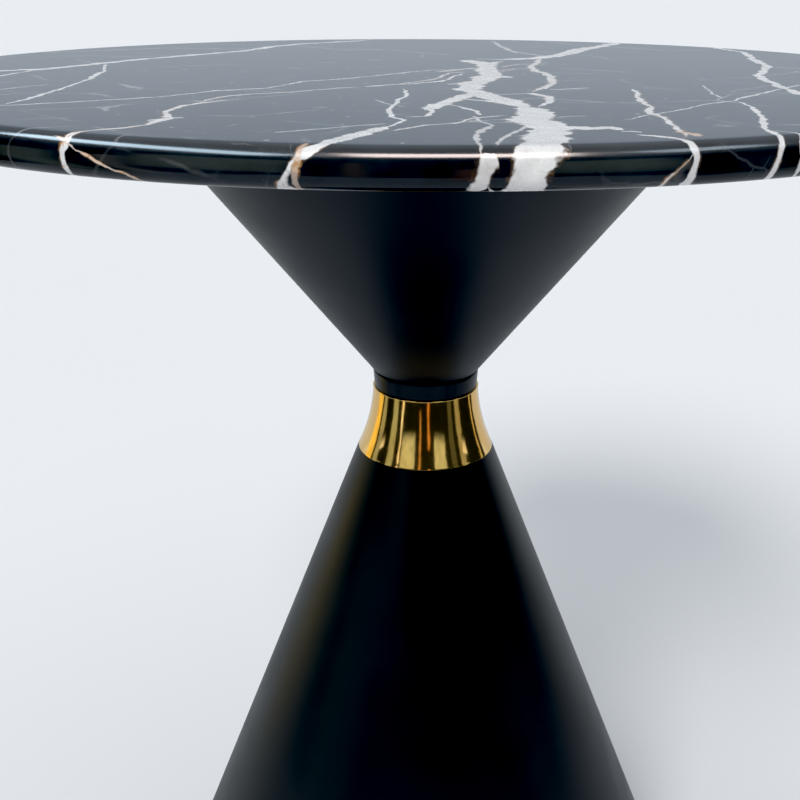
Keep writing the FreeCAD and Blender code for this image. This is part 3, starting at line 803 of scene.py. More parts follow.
def pale_floor():
    """Smooth pale floor with the faintest mottling."""
    look = bpy.context.scene.pedestal_stage
    floor = Finish("pale_floor", Specular_IOR_Level=0.0)
    place = floor.place()
    cloud = floor.noise(place, 60, 3, 0.5)
    colour = tuple(look.floor)
    floor.shade(
        Base_Color=floor.mixed(cloud, colour, tuple(0.985 * c for c in colour)),
        Roughness=0.62 + 0.06 * cloud,
    )
    return floor.material


FINISHES = {}


def finish(maker):
    """The material that a maker function gives, made once."""
    if maker not in FINISHES:
        FINISHES[maker] = maker()
    return FINISHES[maker]


# ---------------------------------------------------------------- pieces


def turned(name, outline, maker, slot, *replaced, body="table", segments=LARGE_ROUND, centres=((0, 0),)):
    """A piece turned from one outline, once about each centre."""
    meshes = [turned_mesh(outline, segments, centre) for centre in centres]
    return piece(name, meshes, finish(maker), body, slot, *replaced)


RIM_STEPS = 14
INSERT_COUNT = 6
POCKET_RADIUS = 5.2 * MM
POCKET_FLANGE_RADIUS = 6.6 * MM
POCKET_FLANGE_DEPTH = 1.05 * MM
POCKET_GAP = 0.1 * MM  # round an insert
WASHER_RADIUS = 8 * MM
WASHER_BORE = 3.4 * MM
EDGE_ROUND = 0.5 * MM  # on cut sheet edges
SHEET = 2 * MM  # the cones' wall
NECK_PROUD = 0.9 * MM  # the neck ring stands out past the upper cone
NECK_UNDERCUT = 1.1 * MM  # how much narrower the neck ring is at its foot
NECK_BORE = 20.3 * MM
WELD_LEG = 1.6 * MM
WELD_STEPS = 6
WELD_RIPPLE = 0.12 * MM
WELD_WAVES = 110
COLLAR_WALL = 1.6 * MM
COLLAR_FOOT_INSET = 0.2 * MM  # the collar's foot stands inside the lower cone's top edge
PAD_RING_WIDTH = 60 * MM
EDGE_STRIP_WIDTH = 5 * MM


class PEDESTAL_OT_stone_top(bpy.types.Operator):
    """Make the polished stone disc with its rounded rim and blind pockets for the inserts."""

    bl_idname = "pedestal.stone_top"
    bl_label = "Stone top"

    def execute(self, context):
        edge = context.scene.pedestal_stone.round_edge
        outer, bottom, top = reach("marble_top"), low("marble_top"), high("marble_top")
        flat = outer - 1.5 * edge
        rim = bullnose(outer, bottom, top, edge)
        outline = [(0, bottom), (flat, bottom), *rim, (flat, top), (0, top)]
        made = turned("stone_top", outline, veined_stone, "stone", "marble_top")
        pockets = []
        depth = high("stone_inserts") + POCKET_GAP
        lift = bottom - MM
        shoulder = bottom + POCKET_FLANGE_DEPTH
        for centre in insert_places():
            outline = [(0, lift), (POCKET_FLANGE_RADIUS, lift), (POCKET_FLANGE_RADIUS, shoulder),
                       (POCKET_RADIUS, shoulder), (POCKET_RADIUS, depth), (0, depth)]
            pockets.append(turned_mesh(outline, SMALL_ROUND, centre))
        cut(made, gathered(pockets))
        return {"FINISHED"}


def bullnose(outer, bottom, top, edge):
    """The rim's points from the underside to the top: two quarter rounds and the band between."""
    points = []
    for centre_z, start in ((bottom + edge, -90), (top - edge, 0)):
        for n in range(RIM_STEPS + 1):
            angle = math.radians(start + 90 * n / RIM_STEPS)
            points.append((outer - edge + edge * math.cos(angle), centre_z + edge * math.sin(angle)))
    return points


def insert_places():
    """The six fixing points, on the circle that the plate screws share."""
    return round_the_axis(reach("stone_inserts") - POCKET_FLANGE_RADIUS + POCKET_GAP, INSERT_COUNT)


class PEDESTAL_OT_plate_fixings(bpy.types.Operator):
    """Make the six washers and domed socket screws that hold the stone to its plate."""

    bl_idname = "pedestal.plate_fixings"
    bl_label = "Plate screws and washers"

    def execute(self, context):
        like = {"segments": SMALL_ROUND, "centres": insert_places()}
        bottom, top = low("plate_washers"), high("plate_washers")
        washer = rounded(
            (
                (WASHER_RADIUS, bottom, 0.4 * MM),
                (WASHER_RADIUS, top, 0.2 * MM),
                (WASHER_BORE, top, 0.2 * MM),
                (WASHER_BORE, bottom, 0.4 * MM),
            ),
            3,
        )
        turned("plate_washer_set", washer, bright_zinc, "zinc_steel", "plate_washers", **like)
        screw = domed_screw(
            low("plate_screws"), bottom, high("plate_screws"),
            shank=3 * MM, head=5.25 * MM, key=4 * MM, key_depth=2 * MM,
            pitch=context.scene.pedestal_threads.screw_pitch,
        )
        turned("plate_screw_set", screw, bright_zinc, "zinc_steel", "plate_screws", **like)
        return {"FINISHED"}


def domed_screw(crown, seat, tip, shank, head, key, key_depth, pitch):
    """Outline of a screw that points up: a domed head with a hexagon socket, then its thread."""
    key_top = crown + key_depth
    key_shape = hexagon(key)
    key_lip = hexagon(key + 0.5 * MM)
    rise = seat - crown
    dome = []
    inner = key * 0.72
    rows = 8
    for n in range(rows + 1):
        turn = math.pi / 2 * n / rows
        dome.append((inner + (head - inner) * math.sin(turn), crown + 0.82 * rise * (1 - math.cos(turn))))
    return [
        (0, key_top + 0.35 * MM),
        (key_shape, key_top),
        (key_shape, crown + 0.3 * MM),
        (key_lip, crown),
        *dome,
        (head, seat),
        (shank, seat),
        *threaded(shank, pitch, seat + 0.2 * MM, tip - 0.8 * MM),
        (shank * 0.75, tip),
        (0, tip),
    ]


class PEDESTAL_OT_upper_cone(bpy.types.Operator):
    """Make the upper cone as thin rolled sheet, with the weld that runs round its mouth."""

    bl_idname = "pedestal.upper_cone"
    bl_label = "Upper cone"

    def execute(self, context):
        foot, mouth = low("upper_cone"), high("upper_cone")
        waist = reach("neck_ring") - NECK_PROUD
        made = cone_sheet(waist, foot, reach("upper_cone"), mouth)
        turned("upper_cone_sheet", made, satin_black, "black_paint", "upper_cone")
        face = reach("upper_cone") - 0.3 * MM
        root = reach("upper_cone") - 0.6 * MM
        bead = [(root, mouth)]
        for n in range(WELD_STEPS + 1):
            angle = math.radians(90 * n / WELD_STEPS)
            bead.append((ripple(face + WELD_LEG * math.cos(angle)), mouth - WELD_LEG * math.sin(angle)))
        bead.append((root, mouth - WELD_LEG * 1.02))
        turned("mouth_weld", bead, satin_black, "black_paint", segments=2 * LARGE_ROUND)
        return {"FINISHED"}


def ripple(radius):
    """A weld bead's radius, with the small scallops of its run."""
    return lambda angle: radius - WELD_RIPPLE * abs(math.sin(WELD_WAVES * angle))


def cone_sheet(foot_radius, foot, mouth_radius, mouth):
    """Outline of a cone's sheet wall, its two cut edges softened."""
    lean = math.hypot(mouth_radius - foot_radius, mouth - foot) / abs(mouth - foot)
    wall = SHEET * lean
    return rounded(
        (
            (foot_radius, foot, EDGE_ROUND),
            (mouth_radius, mouth, EDGE_ROUND),
            (mouth_radius - wall, mouth, EDGE_ROUND),
            (foot_radius - wall, foot, EDGE_ROUND),
        ),
        4,
    )


class PEDESTAL_OT_neck_ring(bpy.types.Operator):
    """Make the lacquered ring between the upper cone and the collar."""

    bl_idname = "pedestal.neck_ring"
    bl_label = "Neck ring"

    def execute(self, context):
        top, spigot_foot = high("neck_ring"), low("neck_ring")
        outer = reach("neck_ring")
        shoulder = high("gold_collar")
        under = outer - NECK_UNDERCUT
        spigot = under - 0.75 * MM
        outline = rounded(
            (
                (outer, top, 1.2 * MM),
                (NECK_BORE, top, 0.3 * MM),
                (NECK_BORE, spigot_foot, 0.3 * MM),
                (spigot, spigot_foot, 0.4 * MM),
                (spigot, shoulder, 0.1 * MM),
                (under, shoulder, 0.25 * MM),
            )
        )
        turned("neck_ring_turning", outline, deep_lacquer, "neck_black", "neck_ring")
        return {"FINISHED"}


class PEDESTAL_OT_gold_collar(bpy.types.Operator):
    """Make the spun gold collar: a flare that starts almost upright under a proud lip."""

    bl_idname = "pedestal.gold_collar"
    bl_label = "Gold collar"

    def execute(self, context):
        bottom, top = low("gold_collar"), high("gold_collar")
        foot = reach("gold_collar")
        lip_height, lip_proud = 0.9 * MM, 0.25 * MM
        head = reach("neck_ring")
        flare = flare_points(head, top - lip_height, foot, bottom + 0.35 * MM)
        outside = [(foot - 0.1 * MM, bottom), (foot, bottom + 0.12 * MM), *flare]
        lip = [
            (head + 0.8 * lip_proud, top - 0.9 * lip_height),
            (head + lip_proud, top - 0.6 * lip_height),
            (head + lip_proud, top - 0.3 * lip_height),
            (head + 0.5 * lip_proud, top - 0.05 * lip_height),
            (head, top),
        ]
        inside = [(r - COLLAR_WALL, z) for r, z in reversed(flare)]
        outline = [*outside, *lip, (head - COLLAR_WALL, top), *inside, (foot - COLLAR_WALL, bottom)]
        turned("collar_flare", outline, polished_gold, "polished_brass", "gold_collar")
        return {"FINISHED"}


COLLAR_TOP_LEAN = math.radians(3)
FLARE_STEPS = 40


def flare_points(head, top, foot, bottom):
    """Points of one arc from the foot up to the head, which starts three degrees from upright."""
    chord = math.atan2(foot - head, top - bottom)
    turn = 2 * (chord - COLLAR_TOP_LEAN)
    radius = math.hypot(foot - head, top - bottom) / (2 * math.sin(turn / 2))
    centre = (head + radius * math.cos(COLLAR_TOP_LEAN), top + radius * math.sin(COLLAR_TOP_LEAN))
    points = []
    for n in range(FLARE_STEPS + 1):
        lean = COLLAR_TOP_LEAN + turn * (1 - n / FLARE_STEPS)
        points.append((centre[0] - radius * math.cos(lean), centre[1] - radius * math.sin(lean)))
    return points


class PEDESTAL_OT_lower_cone(bpy.types.Operator):
    """Make the lower cone as thin rolled sheet."""

    bl_idname = "pedestal.lower_cone"
    bl_label = "Lower cone"

    def execute(self, context):
        bottom, top = low("lower_cone"), high("lower_cone")
        head = reach("gold_collar") + COLLAR_FOOT_INSET
        sheet = cone_sheet(reach("lower_cone"), bottom, head, top)
        turned("lower_cone_sheet", sheet, satin_black, "black_paint", "lower_cone")
        return {"FINISHED"}


class PEDESTAL_OT_rubber_parts(bpy.types.Operator):
    """Make the rubber ring under the stone and the soft strip on the lower cone's bottom edge."""

    bl_idname = "pedestal.rubber_parts"
    bl_label = "Rubber ring and edge strip"

    def execute(self, context):
        bottom, top = low("stone_pad"), high("stone_pad")
        outer = reach("stone_pad")
        inner = outer - PAD_RING_WIDTH
        corners = ((outer, bottom), (outer, top), (inner, top), (inner, bottom))
        ring = rounded([(*corner, 0.3 * MM) for corner in corners], 3)
        turned("stone_pad_ring", ring, matt_rubber, "rubber", "stone_pad")

        bottom, top, edge = low("edge_trim"), high("edge_trim"), low("lower_cone")
        lean = (reach("lower_cone") - reach("gold_collar")) / (high("lower_cone") - edge)
        foot = reach("edge_trim")
        under_sheet = foot - lean * (edge - bottom)
        behind_sheet = under_sheet - SHEET * 1.08
        strip = rounded(
            (
                (foot, bottom, 0.8 * MM),
                (under_sheet, edge, 0.2 * MM),
                (behind_sheet, edge, 0.1 * MM),
                (behind_sheet - lean * (top - edge), top, 0.5 * MM),
                (foot - EDGE_STRIP_WIDTH - lean * (top - bottom), top, 0.8 * MM),
                (foot - EDGE_STRIP_WIDTH, bottom, 1.2 * MM),
            ),
            4,
        )
        turned("edge_strip", strip, matt_rubber, "rubber", "edge_trim")
        return {"FINISHED"}


THREAD_END = 40 * MM  # threaded length at each end of the tie rod
ROD_NUT_FLATS = 18 * MM
ROD_WASHER_BORE = 6.5 * MM
SPRING_WASHER_RADIUS = 10.5 * MM
SPRING_WASHER_OPENING = 2 * math.asin(1 / 8.5)  # 2 mm at the middle of its width


class PEDESTAL_OT_tie_rod(bpy.types.Operator):
    """Make the tie rod with its threaded ends, its nut, split spring washer and flat washer."""

    bl_idname = "pedestal.tie_rod"
    bl_label = "Tie rod and its nut"

    def execute(self, context):
        pitch = context.scene.pedestal_threads.rod_pitch
        bottom, top, radius = low("tie_rod"), high("tie_rod"), reach("tie_rod")
        chamfer = 0.8 * MM
        rod = [
            (0, bottom),
            (radius - 1.2 * MM, bottom),
            *threaded(radius, pitch, bottom + chamfer, bottom + THREAD_END),
            *threaded(radius, pitch, top - THREAD_END, top - chamfer),
            (radius - 1.2 * MM, top),
            (0, top),
        ]
        turned("tie_rod_threaded", rod, bright_zinc, "zinc_steel", "tie_rod", segments=SMALL_ROUND)
        nut = hex_nut(ROD_NUT_FLATS, radius, pitch, low("rod_nut"), high("rod_nut"))
        turned("rod_nut_turning", nut, bright_zinc, "zinc_steel", "rod_nut", segments=SMALL_ROUND)
        split = washer_outline(SPRING_WASHER_RADIUS, "rod_spring_washer", 0.5 * MM)
        ring = turned_mesh(split, SMALL_ROUND, opening=SPRING_WASHER_OPENING)
        piece("spring_washer_split", [ring], finish(bright_zinc), "table", "zinc_steel", "rod_spring_washer")
        flat = washer_outline(reach("rod_washer"), "rod_washer", 0.4 * MM)
        turned("rod_washer_turning", flat, bright_zinc, "zinc_steel", "rod_washer", segments=2 * SMALL_ROUND)
        return {"FINISHED"}


def washer_outline(outer, node, rounding):
    """Outline of one of the rod's flat washers, as high as its CAD node, with softened edges."""
    bottom, top = low(node), high(node)
    return rounded(
        (
            (outer, bottom, rounding),
            (outer, top, rounding),
            (ROD_WASHER_BORE, top, rounding / 2),
            (ROD_WASHER_BORE, bottom, rounding / 2),
        ),
        3,
    )


NUT_CHAMFER_ROWS = 5
NUT_CAP = 0.47  # radius of a nut's end face, as a share of its flats
NUT_CORNER_SLOPE = math.radians(30)


def hex_nut(flats, bore, pitch, bottom, top):
    """Outline of a hexagon nut with turned-down corners and a threaded bore."""
    cap = flats * NUT_CAP
    corner = flats / math.sqrt(3)
    fall = (corner - cap) * math.tan(NUT_CORNER_SLOPE)
    chamfer = [
        (cap + (corner - cap) * n / NUT_CHAMFER_ROWS, fall * n / NUT_CHAMFER_ROWS)
        for n in range(NUT_CHAMFER_ROWS + 1)
    ]
    mouth = bore + THREAD_GAP
    lead = 0.6 * MM
    under = [(hex_under_cone(flats, cone), bottom + rise) for cone, rise in chamfer]
    over = [(hex_under_cone(flats, cone), top - rise) for cone, rise in reversed(chamfer)]
    turns = [
        (thread(mouth, pitch, height, THREAD_DEPTH * pitch), height)
        for height in thread_heights(pitch, bottom + lead, top - lead)[1:-1]
    ]
    wide = mouth + 0.5 * MM
    return [(wide, bottom), *under, *over, (wide, top), (mouth, top - lead), *reversed(turns),
            (mouth, bottom + lead)]


BALLAST_SCREW_COUNT = 3
BALLAST_SCREW_HEAD = 7 * MM
BALLAST_PITCH_RATIO = 1.25  # of the plate screws' pitch


class PEDESTAL_OT_ballast_screws(bpy.types.Operator):
    """Make the three screws that hold the ballast from below."""

    bl_idname = "pedestal.ballast_screws"
    bl_label = "Ballast screws"

    def execute(self, context):
        screw = domed_screw(
            low("ballast_screws"), low("base_plate"), high("ballast_screws"),
            shank=4 * MM, head=BALLAST_SCREW_HEAD, key=5 * MM, key_depth=2.6 * MM,
            pitch=context.scene.pedestal_threads.screw_pitch * BALLAST_PITCH_RATIO,
        )
        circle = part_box("ballast_screws")[1].y - BALLAST_SCREW_HEAD
        centres = round_the_axis(circle, BALLAST_SCREW_COUNT, math.radians(90))
        turned("ballast_screw_set", screw, bright_zinc, "zinc_steel", "ballast_screws",
               segments=SMALL_ROUND, centres=centres)
        return {"FINISHED"}


FOOT_NUT_FLATS = 16 * MM
STUD_RADIUS = 5 * MM


class PEDESTAL_OT_foot_nuts(bpy.types.Operator):
    """Make the nuts above the base plate and the lock nuts below it, in which the feet turn."""

    bl_idname = "pedestal.foot_nuts"
    bl_label = "Foot nuts"

    def execute(self, context):
        pitch = context.scene.pedestal_threads.foot_pitch
        centres = [middle(f"foot_{n}_stud") for n in FOOT_NUMBERS]
        for name, node in (("foot_nut_set", "foot_nuts"), ("foot_lock_nut_set", "foot_lock_nuts")):
            nut = hex_nut(FOOT_NUT_FLATS, STUD_RADIUS, pitch, low(node), high(node))
            turned(name, nut, bright_zinc, "zinc_steel", node, segments=SMALL_ROUND, centres=centres)
        return {"FINISHED"}


PAD_ROUND = 144
PAD_FLUTES = 36


class PEDESTAL_OT_feet(bpy.types.Operator):
    """Make the four levelling feet: threaded studs with a hexagon flange and ball, and their fluted pads."""

    bl_idname = "pedestal.feet"
    bl_label = "Levelling feet"

    def execute(self, context):
        pitch = context.scene.pedestal_threads.foot_pitch
        for n in FOOT_NUMBERS:
            stud, pad = f"foot_{n}_stud", f"foot_{n}_pad"
            centres = [middle(stud)]
            turned(f"foot_{n}_screw", stud_outline(stud, pitch), bright_zinc, "zinc_steel", stud,
                   body=f"foot_stud_{n}", segments=SMALL_ROUND, centres=centres)
            turned(f"foot_{n}_moulding", pad_outline(pad, stud), moulded_plastic, "foot_plastic", pad,
                   body=f"foot_pad_{n}", segments=PAD_ROUND, centres=centres)
        return {"FINISHED"}


BALL = 4.5 * MM
STUD_NECK = 3 * MM
FLANGE_FLATS = 14 * MM
FLANGE_HEIGHT = 5 * MM
PAD_RADIUS = 20 * MM
PAD_TOP_RADIUS = 9 * MM
SOCKET_GAP = 0.3 * MM
SOCKET_MOUTH = 3.6 * MM
SOLE_GROOVE = 0.6 * MM


def stud_outline(stud, pitch):
    """Outline of a levelling stud, from the ball up to the tip."""
    bottom, tip = low(stud), high(stud)
    ball = bottom + BALL
    rows = [(0, bottom)]
    for n in range(1, 13):
        angle = math.radians(-90 + n * 11)
        rows.append((BALL * math.cos(angle), ball + BALL * math.sin(angle)))
    under = ball + 3.5 * MM
    flats = FLANGE_FLATS
    corner = flats / math.sqrt(3)
    rows += [
        (STUD_NECK, ball + math.sqrt(BALL**2 - STUD_NECK**2)),
        (STUD_NECK, under),
        (hex_under_cone(flats, flats * NUT_CAP), under),
        (hex_under_cone(flats, corner), under + 0.6 * MM),
        (hex_under_cone(flats, corner), under + FLANGE_HEIGHT - 0.6 * MM),
        (hex_under_cone(flats, flats * NUT_CAP), under + FLANGE_HEIGHT),
        (STUD_RADIUS, under + FLANGE_HEIGHT),
        *threaded(STUD_RADIUS, pitch, under + FLANGE_HEIGHT + 0.4 * MM, tip - MM),
        (4.1 * MM, tip),
        (0, tip),
    ]
    return rows


def pad_outline(pad, stud):
    """Outline of a foot pad: a fluted rim, a coned top with the ball's socket, and a grooved sole."""
    top = high(pad)
    ball = low(stud) + BALL
    socket = BALL + SOCKET_GAP

    def fluted(inset, depth):
        return lambda angle: PAD_RADIUS - inset - depth * (0.5 - 0.5 * math.cos(PAD_FLUTES * angle))

    rows = [(0, 0.4 * MM), (5 * MM, 0.4 * MM), (5.4 * MM, 0)]
    for land, groove in ((8.6 * MM, 9 * MM), (13.6 * MM, 14 * MM)):
        far = groove + 1.4 * MM
        rows += [(land, 0), (groove, SOLE_GROOVE), (far, SOLE_GROOVE), (far + 0.4 * MM, 0)]
    for inset, depth, height in ((1, 0, 0), (0.3, 0.3, 0.3), (0, 0.5, 1), (0, 0.5, 3.4), (0.5, 0.2, 4)):
        rows.append((fluted(inset * MM, depth * MM), height * MM))
    steps = 8
    for n in range(1, steps):
        share = n / steps
        hollow = 0.5 * MM * math.sin(math.pi * share)
        radius = PAD_RADIUS + (PAD_TOP_RADIUS - PAD_RADIUS) * share - hollow
        rows.append((radius, 4 * MM + (top - 4 * MM) * share - hollow))
    soft = 0.4 * MM
    rows += [(PAD_TOP_RADIUS, top - soft), (PAD_TOP_RADIUS - soft, top),
             (SOCKET_MOUTH + soft, top), (SOCKET_MOUTH, top - soft)]
    start = math.degrees(math.acos(SOCKET_MOUTH / socket))
    for n in range(13):
        angle = math.radians(start - n * (start + 82) / 12)
        rows.append((socket * math.cos(angle), ball + socket * math.sin(angle)))
    rows.append((0, ball - socket))
    return rows


CARRIED_OVER = {
    "stone_inserts": turned_brass,
    "mounting_plate": satin_black,
    "rod_boss": rolled_steel,
    "upper_cone_floor": rolled_steel,
    "spacer_tube": rolled_steel,
    "lower_cone_cap": rolled_steel,
    "seat_ring": rolled_steel,
    "base_plate": satin_black,
    "ballast_disc": primed_iron,
}


class PEDESTAL_OT_plain_parts(bpy.types.Operator):
    """Give the plates, discs, tube and inserts, whose shapes are already right, their finishes."""

    bl_idname = "pedestal.plain_parts"
    bl_label = "Plates, discs and tube"

    def execute(self, context):
        for node, maker in CARRIED_OVER.items():
            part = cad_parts[node]
            if not part.material_slots:
                part.data.materials.append(None)
            for held in part.material_slots:
                held.material = finish(maker)
        return {"FINISHED"}


STEPS = [
    PEDESTAL_OT_stone_top,
    PEDESTAL_OT_plate_fixings,
    PEDESTAL_OT_upper_cone,
    PEDESTAL_OT_neck_ring,
    PEDESTAL_OT_gold_collar,
    PEDESTAL_OT_lower_cone,
    PEDESTAL_OT_rubber_parts,
    PEDESTAL_OT_tie_rod,
    PEDESTAL_OT_ballast_screws,
    PEDESTAL_OT_foot_nuts,
    PEDESTAL_OT_feet,
    PEDESTAL_OT_plain_parts,
]


# ---------------------------------------------------------------- stage

FLOOR_REACH = 60.0
CAMERA_SHIFT = -0.032
CLIP_END = 200

# Broad lights: name, power, spread in degrees and the side that they come from.
SUNS = (
    ("key_light", 1.9, 22, (-1.4, -3.6, 4.0)),
    ("side_light", 0.4, 25, (-3.0, -1.0, 2.6)),
)


class PEDESTAL_OT_stage(bpy.types.Operator):
    """Lay the pale floor and set the lights and the camera."""

    bl_idname = "pedestal.stage"
    bl_label = "Floor, lights and camera"

    def execute(self, context):
        look = context.scene.pedestal_stage
        corners = [(x * FLOOR_REACH, y * FLOOR_REACH, 0) for x, y in ((-1, -1), (1, -1), (1, 1), (-1, 1))]
        flat_sheet(context, "floor", finish(pale_floor), corners)

        context.scene.world = room_light(look)
        for name, energy, spread, place in SUNS:
            sun = bpy.data.lights.new(name, "SUN")
            sun.energy = energy
            sun.angle = math.radians(spread)
            aim(context, name, sun, place, (0, 0, 0.5)).visible_glossy = False
        for sizes in CARDS:
            card(context, *sizes)
        # painted reflections of the floor: glowing discs that only reflections see
        for sizes in FLOOR_REFLECTION_DISCS:
            floor_reflection_disc(context, *sizes)
        for name, place, length, colour, power in TUBES:
            tube = bpy.data.lights.new(name, "AREA")
            tube.shape = "RECTANGLE"
            tube.size, tube.size_y = length, TUBE_WIDTH
            tube.color = colour
            tube.energy = power
            lamp = aim(context, name, tube, place, (0.4 * place[0], 0, 0.75))
            lamp.visible_camera = lamp.visible_diffuse = False

        camera = bpy.data.cameras.new("camera")
        camera.lens = look.lens
        camera.shift_x = CAMERA_SHIFT
        camera.clip_end = CLIP_END
        eye = bpy.data.objects.new("camera", camera)
        tilt = Matrix.Rotation(math.pi / 2 - look.camera_pitch, 4, "X")
        roll = Matrix.Rotation(look.camera_roll, 4, "Z")
        eye.matrix_world = (
            Matrix.Translation((0, -look.camera_distance, look.camera_height)) @ tilt @ roll
        )
        context.scene.collection.objects.link(eye)
        context.scene.camera = eye
        settings = context.scene.view_settings
        settings.view_transform = "Standard"
        settings.use_curve_mapping = True
        settings.curve_mapping.black_level = (0.015, 0.013, 0.010)
        settings.curve_mapping.update()
        return {"FINISHED"}


# Upright cards that only reflections see: name, bearing from the front in degrees, distance from the
# table's axis, height of the foot, width, height and glow.
DARK = (0.008, 0.013, 0.016)
CARDS = (
    ("front_dark", 0, 1.55, 0, 5.0, 2.2, DARK),
    ("left_dark", -72, 1.15, 0, 2.2, 0.8, DARK),
    ("right_dark", 72, 1.15, 0, 2.2, 0.8, DARK),
    ("high_strip", 0, 1.5, 1.75, 2.4, 0.16, (0.40, 0.38, 0.40)),
    ("left_orange", -108, 1.0, 0, 0.26, 0.8, (1.2, 0.92, 0.28)),
    ("left_olive", -92, 1.0, 0, 0.15, 0.8, (0.45, 0.50, 0.42)),
    ("left_white", -84, 0.98, 0.47, 0.14, 0.10, (1.8, 1.8, 1.7)),
    ("left_pale", -63, 1.0, 0, 0.20, 0.8, (0.50, 0.55, 0.42)),
    ("left_strip", -47, 1.0, 0, 0.05, 0.8, (1.5, 1.4, 1.2)),
    ("left_glow", -31, 1.0, 0.50, 0.42, 0.55, (0.75, 0.80, 0.64)),
    ("left_amber", -10, 1.0, 0.3, 0.04, 0.7, (0.9, 0.5, 0.2)),
    ("middle_amber", 6, 1.0, 0, 0.06, 0.7, (0.9, 0.42, 0.14)),
    ("right_glow", 26, 1.0, 0.52, 0.36, 0.55, (0.72, 0.76, 0.58)),
    ("right_olive", 50, 1.0, 0, 0.16, 0.8, (0.12, 0.13, 0.10)),
    ("right_pale", 68, 1.0, 0, 0.18, 0.8, (0.45, 0.45, 0.34)),
    ("right_white", 73, 0.98, 0.5, 0.12, 0.14, (1.5, 1.5, 1.4)),
    ("right_line", 106, 1.0, 0, 0.05, 0.8, (0.9, 0.75, 0.4)),
)

# Round cards on the floor that only reflections see, a painted reflection of the floor darker than the floor
# itself: name, lift, radius and glow.
FLOOR_REFLECTION_DISCS = (
    ("near_floor_reflection", 2 * MM, 1.4, (0.46, 0.49, 0.52)),
    ("far_floor_reflection", MM, 9.0, (0.62, 0.64, 0.66)),
)

# Soft lights overhead: name, place, length, colour and power.
TUBE_WIDTH = 0.55
TUBES = (
    ("left_tube", (-1.6, -0.5, 2.6), 2.6, (0.66, 0.85, 1.0), 70),
    ("middle_tube", (0.15, -1.0, 2.2), 1.0, (1.0, 0.84, 0.80), 42),
    ("right_tube", (1.5, -0.6, 2.6), 0.9, (0.72, 0.87, 1.0), 10),
)


def card(context, name, bearing, distance, foot, width, height, colour):
    """An upright card that faces the table's axis."""
    angle = math.radians(bearing)
    out = Vector((math.sin(angle), -math.cos(angle), 0))
    side = Vector((math.cos(angle), math.sin(angle), 0)) * width / 2
    middle_foot = distance * out + Vector((0, 0, foot))
    up = Vector((0, 0, height))
    glow = Finish(name, Roughness=1.0, Emission_Strength=1.0)
    place = glow.place()
    soft_foot = glow.graded(place.dot((0, 0, 1)), 100 * foot, 100 * foot + 14)
    uneven = 0.35 + 1.1 * glow.noise(place, 9, 2, 0.6)
    glow.shade(Base_Color=(0, 0, 0), Emission_Color=glow.mixed(soft_foot * uneven, DARK, colour))
    left, right = middle_foot - side, middle_foot + side
    reflected_sheet(context, name, glow, (left, right, right + up, left + up))


def floor_reflection_disc(context, name, lift, radius, colour):
    """A round card that lies on the floor and shows only in reflections: a painted reflection of the floor.
    """
    glow = Finish(name, Roughness=1.0, Emission_Strength=1.0)
    # painted reflection: the disc glows darker than the floor, so the floor looks darker where it is
    # reflected
    glow.shade(Base_Color=(0, 0, 0), Emission_Color=colour)
    corners = [(x, y, lift) for x, y in round_the_axis(radius, LARGE_ROUND)]
    reflected_sheet(context, name, glow, corners)


def flat_sheet(context, name, material, corners):
    """One flat face with a material."""
    sheet = bmesh.new()
    sheet.faces.new([sheet.verts.new(corner) for corner in corners])
    data = bpy.data.meshes.new(name)
    sheet.to_mesh(data)
    sheet.free()
    data.materials.append(material)
    made = bpy.data.objects.new(name, data)
    context.scene.collection.objects.link(made)
    return made


def reflected_sheet(context, name, glow, corners):
    """A flat sheet that shows in reflections and nowhere else."""
    made = flat_sheet(context, name, glow.material, corners)
    made.visible_camera = made.visible_diffuse = made.visible_shadow = False
    made.visible_transmission = made.visible_volume_scatter = False


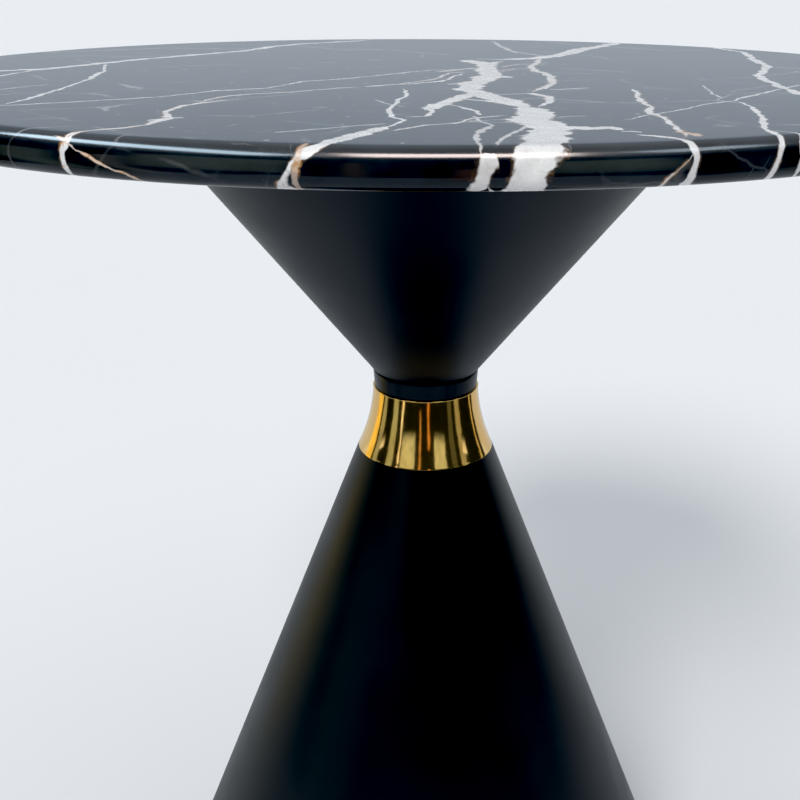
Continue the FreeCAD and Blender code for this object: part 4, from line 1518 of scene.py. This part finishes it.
def room_light(look):
    """Light from all round: bright overhead, blue-grey behind the table and dark in front of it."""
    room = bpy.data.worlds.new("pale_room")
    room.use_nodes = True
    nodes = Nodes(room.node_tree)
    way = nodes.node("ShaderNodeTexCoord", output="Generated")
    back = nodes.graded(way.dot((0, 1, 0)), -0.15, 0.45)
    above = nodes.graded(way.dot((0, 0, 1)), 0.40, 0.90)
    rising = nodes.graded(way.dot((0, 0, 1)), 0.0, 0.18)
    behind = nodes.mixed(rising, (0.66, 0.73, 0.80), (0.42, 0.48, 0.56))
    low_light = nodes.mixed(back, (0.02, 0.024, 0.03), behind)
    light = nodes.mixed(above, low_light, tuple(look.sky))
    seen = nodes.node("ShaderNodeLightPath", output="Is Camera Ray")
    shown = nodes.mixed(seen, light, (0.80, 0.84, 0.88))
    nodes.feed(room.node_tree.nodes["Background"].inputs["Color"], shown)
    return room


def aim(context, name, light, place, target):
    """Puts a light at a place, facing a target."""
    lamp = bpy.data.objects.new(name, light)
    lamp.location = place
    lamp.rotation_mode = "QUATERNION"
    lamp.rotation_quaternion = (Vector(target) - Vector(place)).to_track_quat("-Z", "Y")
    context.scene.collection.objects.link(lamp)
    return lamp


STEPS.append(PEDESTAL_OT_stage)


class PEDESTAL_PT_steps(bpy.types.Panel):
    """Lists the steps in the sidebar."""

    bl_label = "Pedestal table"
    bl_idname = "PEDESTAL_PT_steps"
    bl_space_type = "VIEW_3D"
    bl_region_type = "UI"
    bl_category = "Pedestal table"

    def draw(self, context):
        for look in LOOKS:
            group = getattr(context.scene, look)
            for name in group.bl_rna.properties.keys():
                if name not in ("rna_type", "name"):
                    self.layout.prop(group, name)
        for step in STEPS:
            self.layout.operator(step.bl_idname)


def register():
    for name, look in LOOKS.items():
        bpy.utils.register_class(look)
        setattr(bpy.types.Scene, name, bpy.props.PointerProperty(type=look))
    for kind in (*STEPS, PEDESTAL_PT_steps):
        bpy.utils.register_class(kind)


def unregister():
    for kind in (PEDESTAL_PT_steps, *reversed(STEPS)):
        bpy.utils.unregister_class(kind)
    for name, look in reversed(LOOKS.items()):
        delattr(bpy.types.Scene, name)
        bpy.utils.unregister_class(look)


def main():
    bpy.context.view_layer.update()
    register()
    for step in STEPS:
        group, name = step.bl_idname.split(".")
        getattr(getattr(bpy.ops, group), name)()


if __name__ == "__main__":
    main()
